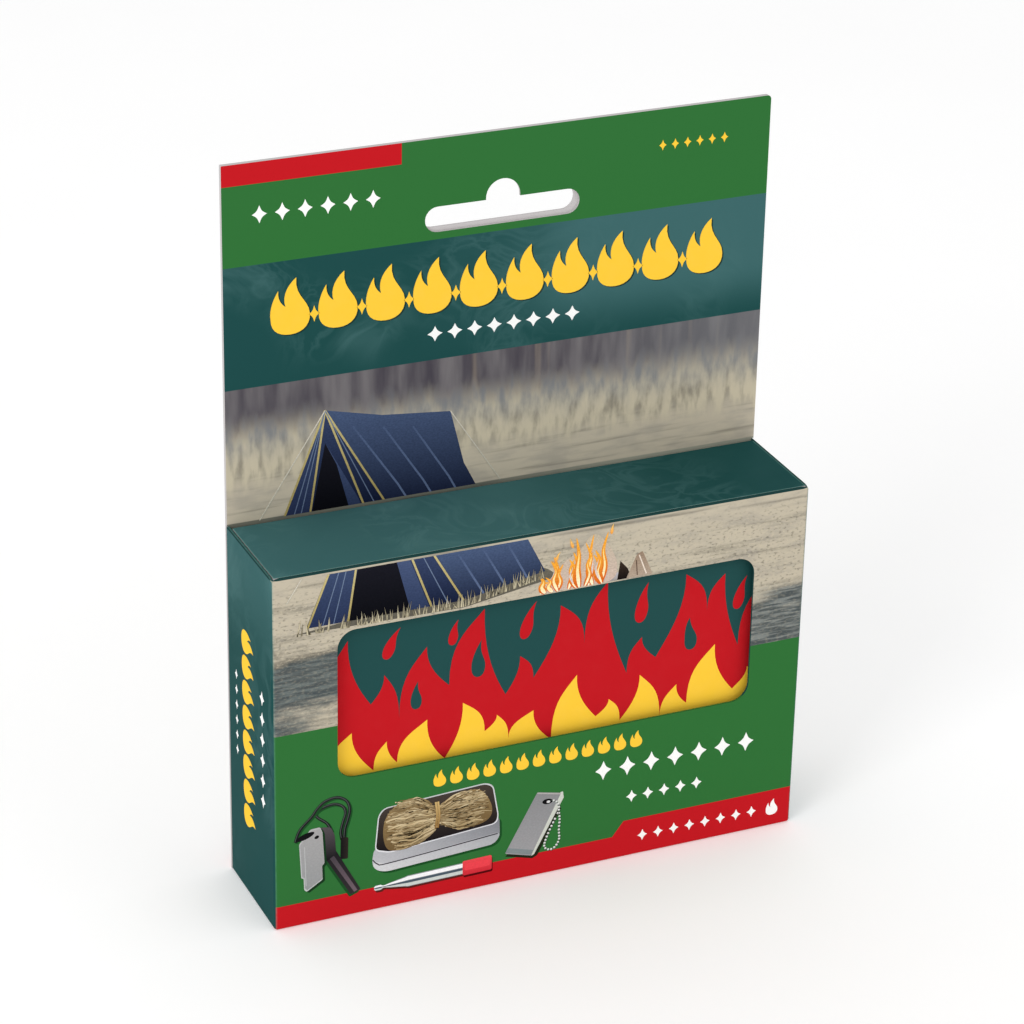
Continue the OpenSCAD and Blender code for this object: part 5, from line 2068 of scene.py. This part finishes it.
def smoothed(points: Sequence[Vector], cuts: int) -> list[Vector]:
    """Gives points on the smooth curve through a list of points.

    Args:
        points: The list.
        cuts: Steps between each two of them.

    Returns:
        The curve's points.
    """
    made: list[Vector] = []
    for i in range(len(points) - 1):
        a, b, c, d = (points[min(max(i + k, 0), len(points) - 1)] for k in (-1, 0, 1, 2))
        for t in (k / cuts for k in range(cuts)):
            square, cube = 2 * a - 5 * b + 4 * c - d, 3 * b - a - 3 * c + d
            made.append(0.5 * (2 * b + (c - a) * t + square * t**2 + cube * t**3))
    return made + [points[-1]]


@dataclass
class Lanyard:
    """The braided lanyard: its route from the handle's end to its sleeve, repeated from the model."""

    exit: Point3 = (40.0, -3.9, 7.0)
    radius: float = 0.9
    sides: int = 16
    cuts: int = 4
    route: tuple[Point3, ...] = (
        (0, 0, 0), (3, 0, 0), (5.8, -0.2, 0.9), (8, -0.6, 2.8), (9.3, -1.1, 5.4),
        (9.8, -1.6, 8.4), (9.6, -2.1, 11.6), (8.9, -2.5, 14.8), (7.6, -2.8, 17.8), (5.8, -3, 20.4),
        (3.4, -3.2, 22.6), (0.6, -3.2, 24.2), (-2.4, -3.2, 25), (-5.6, -3.1, 25.2), (-8.8, -2.9, 24.7),
        (-11.6, -2.5, 23.4), (-13.8, -2.1, 21.3), (-14.9, -1.8, 18.6), (-15.2, -1.7, 16),
    )

    def rings(self, work: bmesh.types.BMesh, path: Sequence[Vector]) -> list[list[bmesh.types.BMVert]]:
        """Makes the cord's rings of vertices, level with the fittings at both ends.

        Args:
            work: The mesh that they are made in.
            path: The cord's middle line, in metres.

        Returns:
            The rings.
        """
        across = Vector((0.0, 1.0, 0.0))
        turns = [2 * math.pi * k / self.sides for k in range(self.sides)]
        ways = [Vector((1, 0, 0)), *(b - a for a, b in zip(path, path[2:])), Vector((0, 0, -1))]
        rings = []
        for point, along in zip(path, ways):
            along.normalize()
            across = (across - along * across.dot(along)).normalized()
            over = along.cross(across)
            outs = [across * math.cos(a) + over * math.sin(a) for a in turns]
            rings.append([work.verts.new(point + out * self.radius * MM) for out in outs])
        return rings

    def build(self) -> None:
        start = Vector(self.exit)
        path = [(start + Vector(p)) * MM for p in smoothed([Vector(q) for q in self.route], self.cuts)]
        mesh, work = bpy.data.meshes.new("lanyard_cord_braid"), bmesh.new()
        sheet = work.loops.layers.uv.new("UVMap")
        rings = self.rings(work, path)
        run = 0.0
        for low, high, a, b in zip(rings, rings[1:], path, path[1:]):
            step = (b - a).length / (2 * math.pi * self.radius * MM)
            for k in range(self.sides):
                n = (k + 1) % self.sides
                skin = work.faces.new([low[k], low[n], high[n], high[k]])
                corners = ((k, run), (k + 1, run), (k + 1, run + step), (k, run + step))
                for loop, (u, v) in zip(skin.loops, corners):
                    loop[sheet].uv = (u / self.sides, v)
            run += step
        work.faces.new(rings[0][::-1])
        work.faces.new(rings[-1])
        work.to_mesh(mesh)
        work.free()
        piece = finished("lanyard_cord_braid", mesh, CORD)
        place_piece(piece, "tin", "cord_fabric", "lanyard_cord")


@dataclass
class Kit:
    """The tin and everything in it."""

    strands: int = 420
    points: int = 26
    waist: float = 5.5
    thickness: float = 0.32
    wander: float = 3.0

    def build(self, nodes: dict[str, bpy.types.Object]) -> None:
        """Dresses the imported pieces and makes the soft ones.

        Args:
            nodes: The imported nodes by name.
        """
        tubes = [f"blow_tube_{part}" for part in ("outer", "middle", "inner", "nozzle")]
        for finish, names in ((STEEL, ["tin_body"]), (TUBE_STEEL, tubes), (MOUTH, ["mouthpiece"]),
                              (MAGNESIUM, ["magnesium_bar"]), (CHAIN_STEEL, ["ball_chain", "chain_clasp"]),
                              (FERRO, ["ferro_rod"]), (HANDLE, ["rod_handle", "lanyard_sleeve"]),
                              (STRIKER_STEEL, ["striker_plate"]), (JUTE, ["tinder_tie"]),
                              (TIN_PRINT, ["tin_lid"])):
            for name in names:
                nodes[name].data.materials.clear()
                nodes[name].data.materials.append(finish.material())
                LOG.info("%s wears %s", name, finish.name)
        Flames().build(Face(Axis.Y, box_mm("tin_lid")[0].y, -1.0))
        Lanyard().build()
        self.tinder()

    def tinder(self) -> None:
        """Makes the tinder bundle of loose jute strands."""
        low, high = box_mm("tinder_bundle")
        middle, half = (low + high) / 2, (high - low) / 2
        lengths = {"Half length": half.x, "Half depth": half.y, "Half height": half.z, "Waist": self.waist,
                   "Thickness": self.thickness, "Wander": self.wander}
        carrier = linked("tinder_strands", bpy.data.meshes.new("tinder_strands"))
        piece = grown(carrier, fibre_tree(JUTE), {"Strands": self.strands, "Points": self.points,
                                                  **{name: value * MM for name, value in lengths.items()}})
        piece.data.transform(Matrix.Translation(middle * MM))
        place_piece(piece, "tin", "tinder_fibre", "tinder_bundle")


@dataclass
class Studio:
    """A pale floor, soft even light and the photograph's camera."""

    camera_at: Point3 = (-0.26252, -0.58414, 0.38606)
    camera_turn: Point3 = (64.1926, -1.0710, -23.5100)
    lens: float = 126.19
    floor_half: float = 3000.0
    floor_z: float = -0.06
    sky: float = 0.82
    lit: Point3 = (0, 0, 0.07)
    key: tuple[Point3, float, float] = ((-1.2, -0.75, 0.95), 0.6, 6.5)
    fill: tuple[Point3, float, float] = ((0.9, -1.1, 0.8), 1.2, 1.5)

    def camera(self) -> None:
        """Sets up the camera."""
        data = bpy.data.cameras.new("camera")
        data.lens, data.sensor_width, data.clip_start = self.lens, 36.0, 0.01
        made = linked("camera", data)
        made.location = self.camera_at
        made.rotation_euler = Euler([math.radians(a) for a in self.camera_turn])
        bpy.context.scene.camera = made

    def floor(self) -> None:
        """Lays the floor, a little under the carton so that the open bottom flap isn't in its plane."""
        half, shape = self.floor_half, MeshMaker()
        corners = ((-half, -half), (half, -half), (half, half), (-half, half))
        shape.face([(x, y, self.floor_z) for x, y in corners])
        shape.build("studio_floor", StudioFloor("studio_floor"))

    def light(self, name: str, place: Point3, size: float, power: float) -> None:
        """Hangs one soft lamp that faces the carton.

        Args:
            name: Its name.
            place: Its place, in metres.
            size: Its size, in metres.
            power: Its power, in watts.
        """
        data = bpy.data.lights.new(name, "AREA")
        data.size, data.energy = size, power
        made = linked(name, data)
        made.location = place
        made.rotation_euler = (Vector(self.lit) - Vector(place)).to_track_quat("-Z", "Y").to_euler()

    def build(self) -> None:
        """Sets up the floor, the sky and the lamps."""
        self.floor()
        world = bpy.data.worlds.new("studio_sky")
        world.use_nodes = True
        sky = world.node_tree.nodes["Background"]
        sky.inputs["Color"].default_value = (1, 1, 1, 1)
        sky.inputs["Strength"].default_value = self.sky
        bpy.context.scene.world = world
        self.light("key", *self.key)
        self.light("fill", *self.fill)
        bpy.context.scene.view_settings.view_transform = "Standard"


def main() -> None:
    """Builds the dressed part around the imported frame."""
    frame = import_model()
    studio = Studio()
    studio.camera()
    Kit().build(frame["nodes"])
    Carton().build()
    studio.build()


if __name__ == "__main__":
    logging.basicConfig(level=logging.INFO, format="%(name)s: %(message)s")
    main()
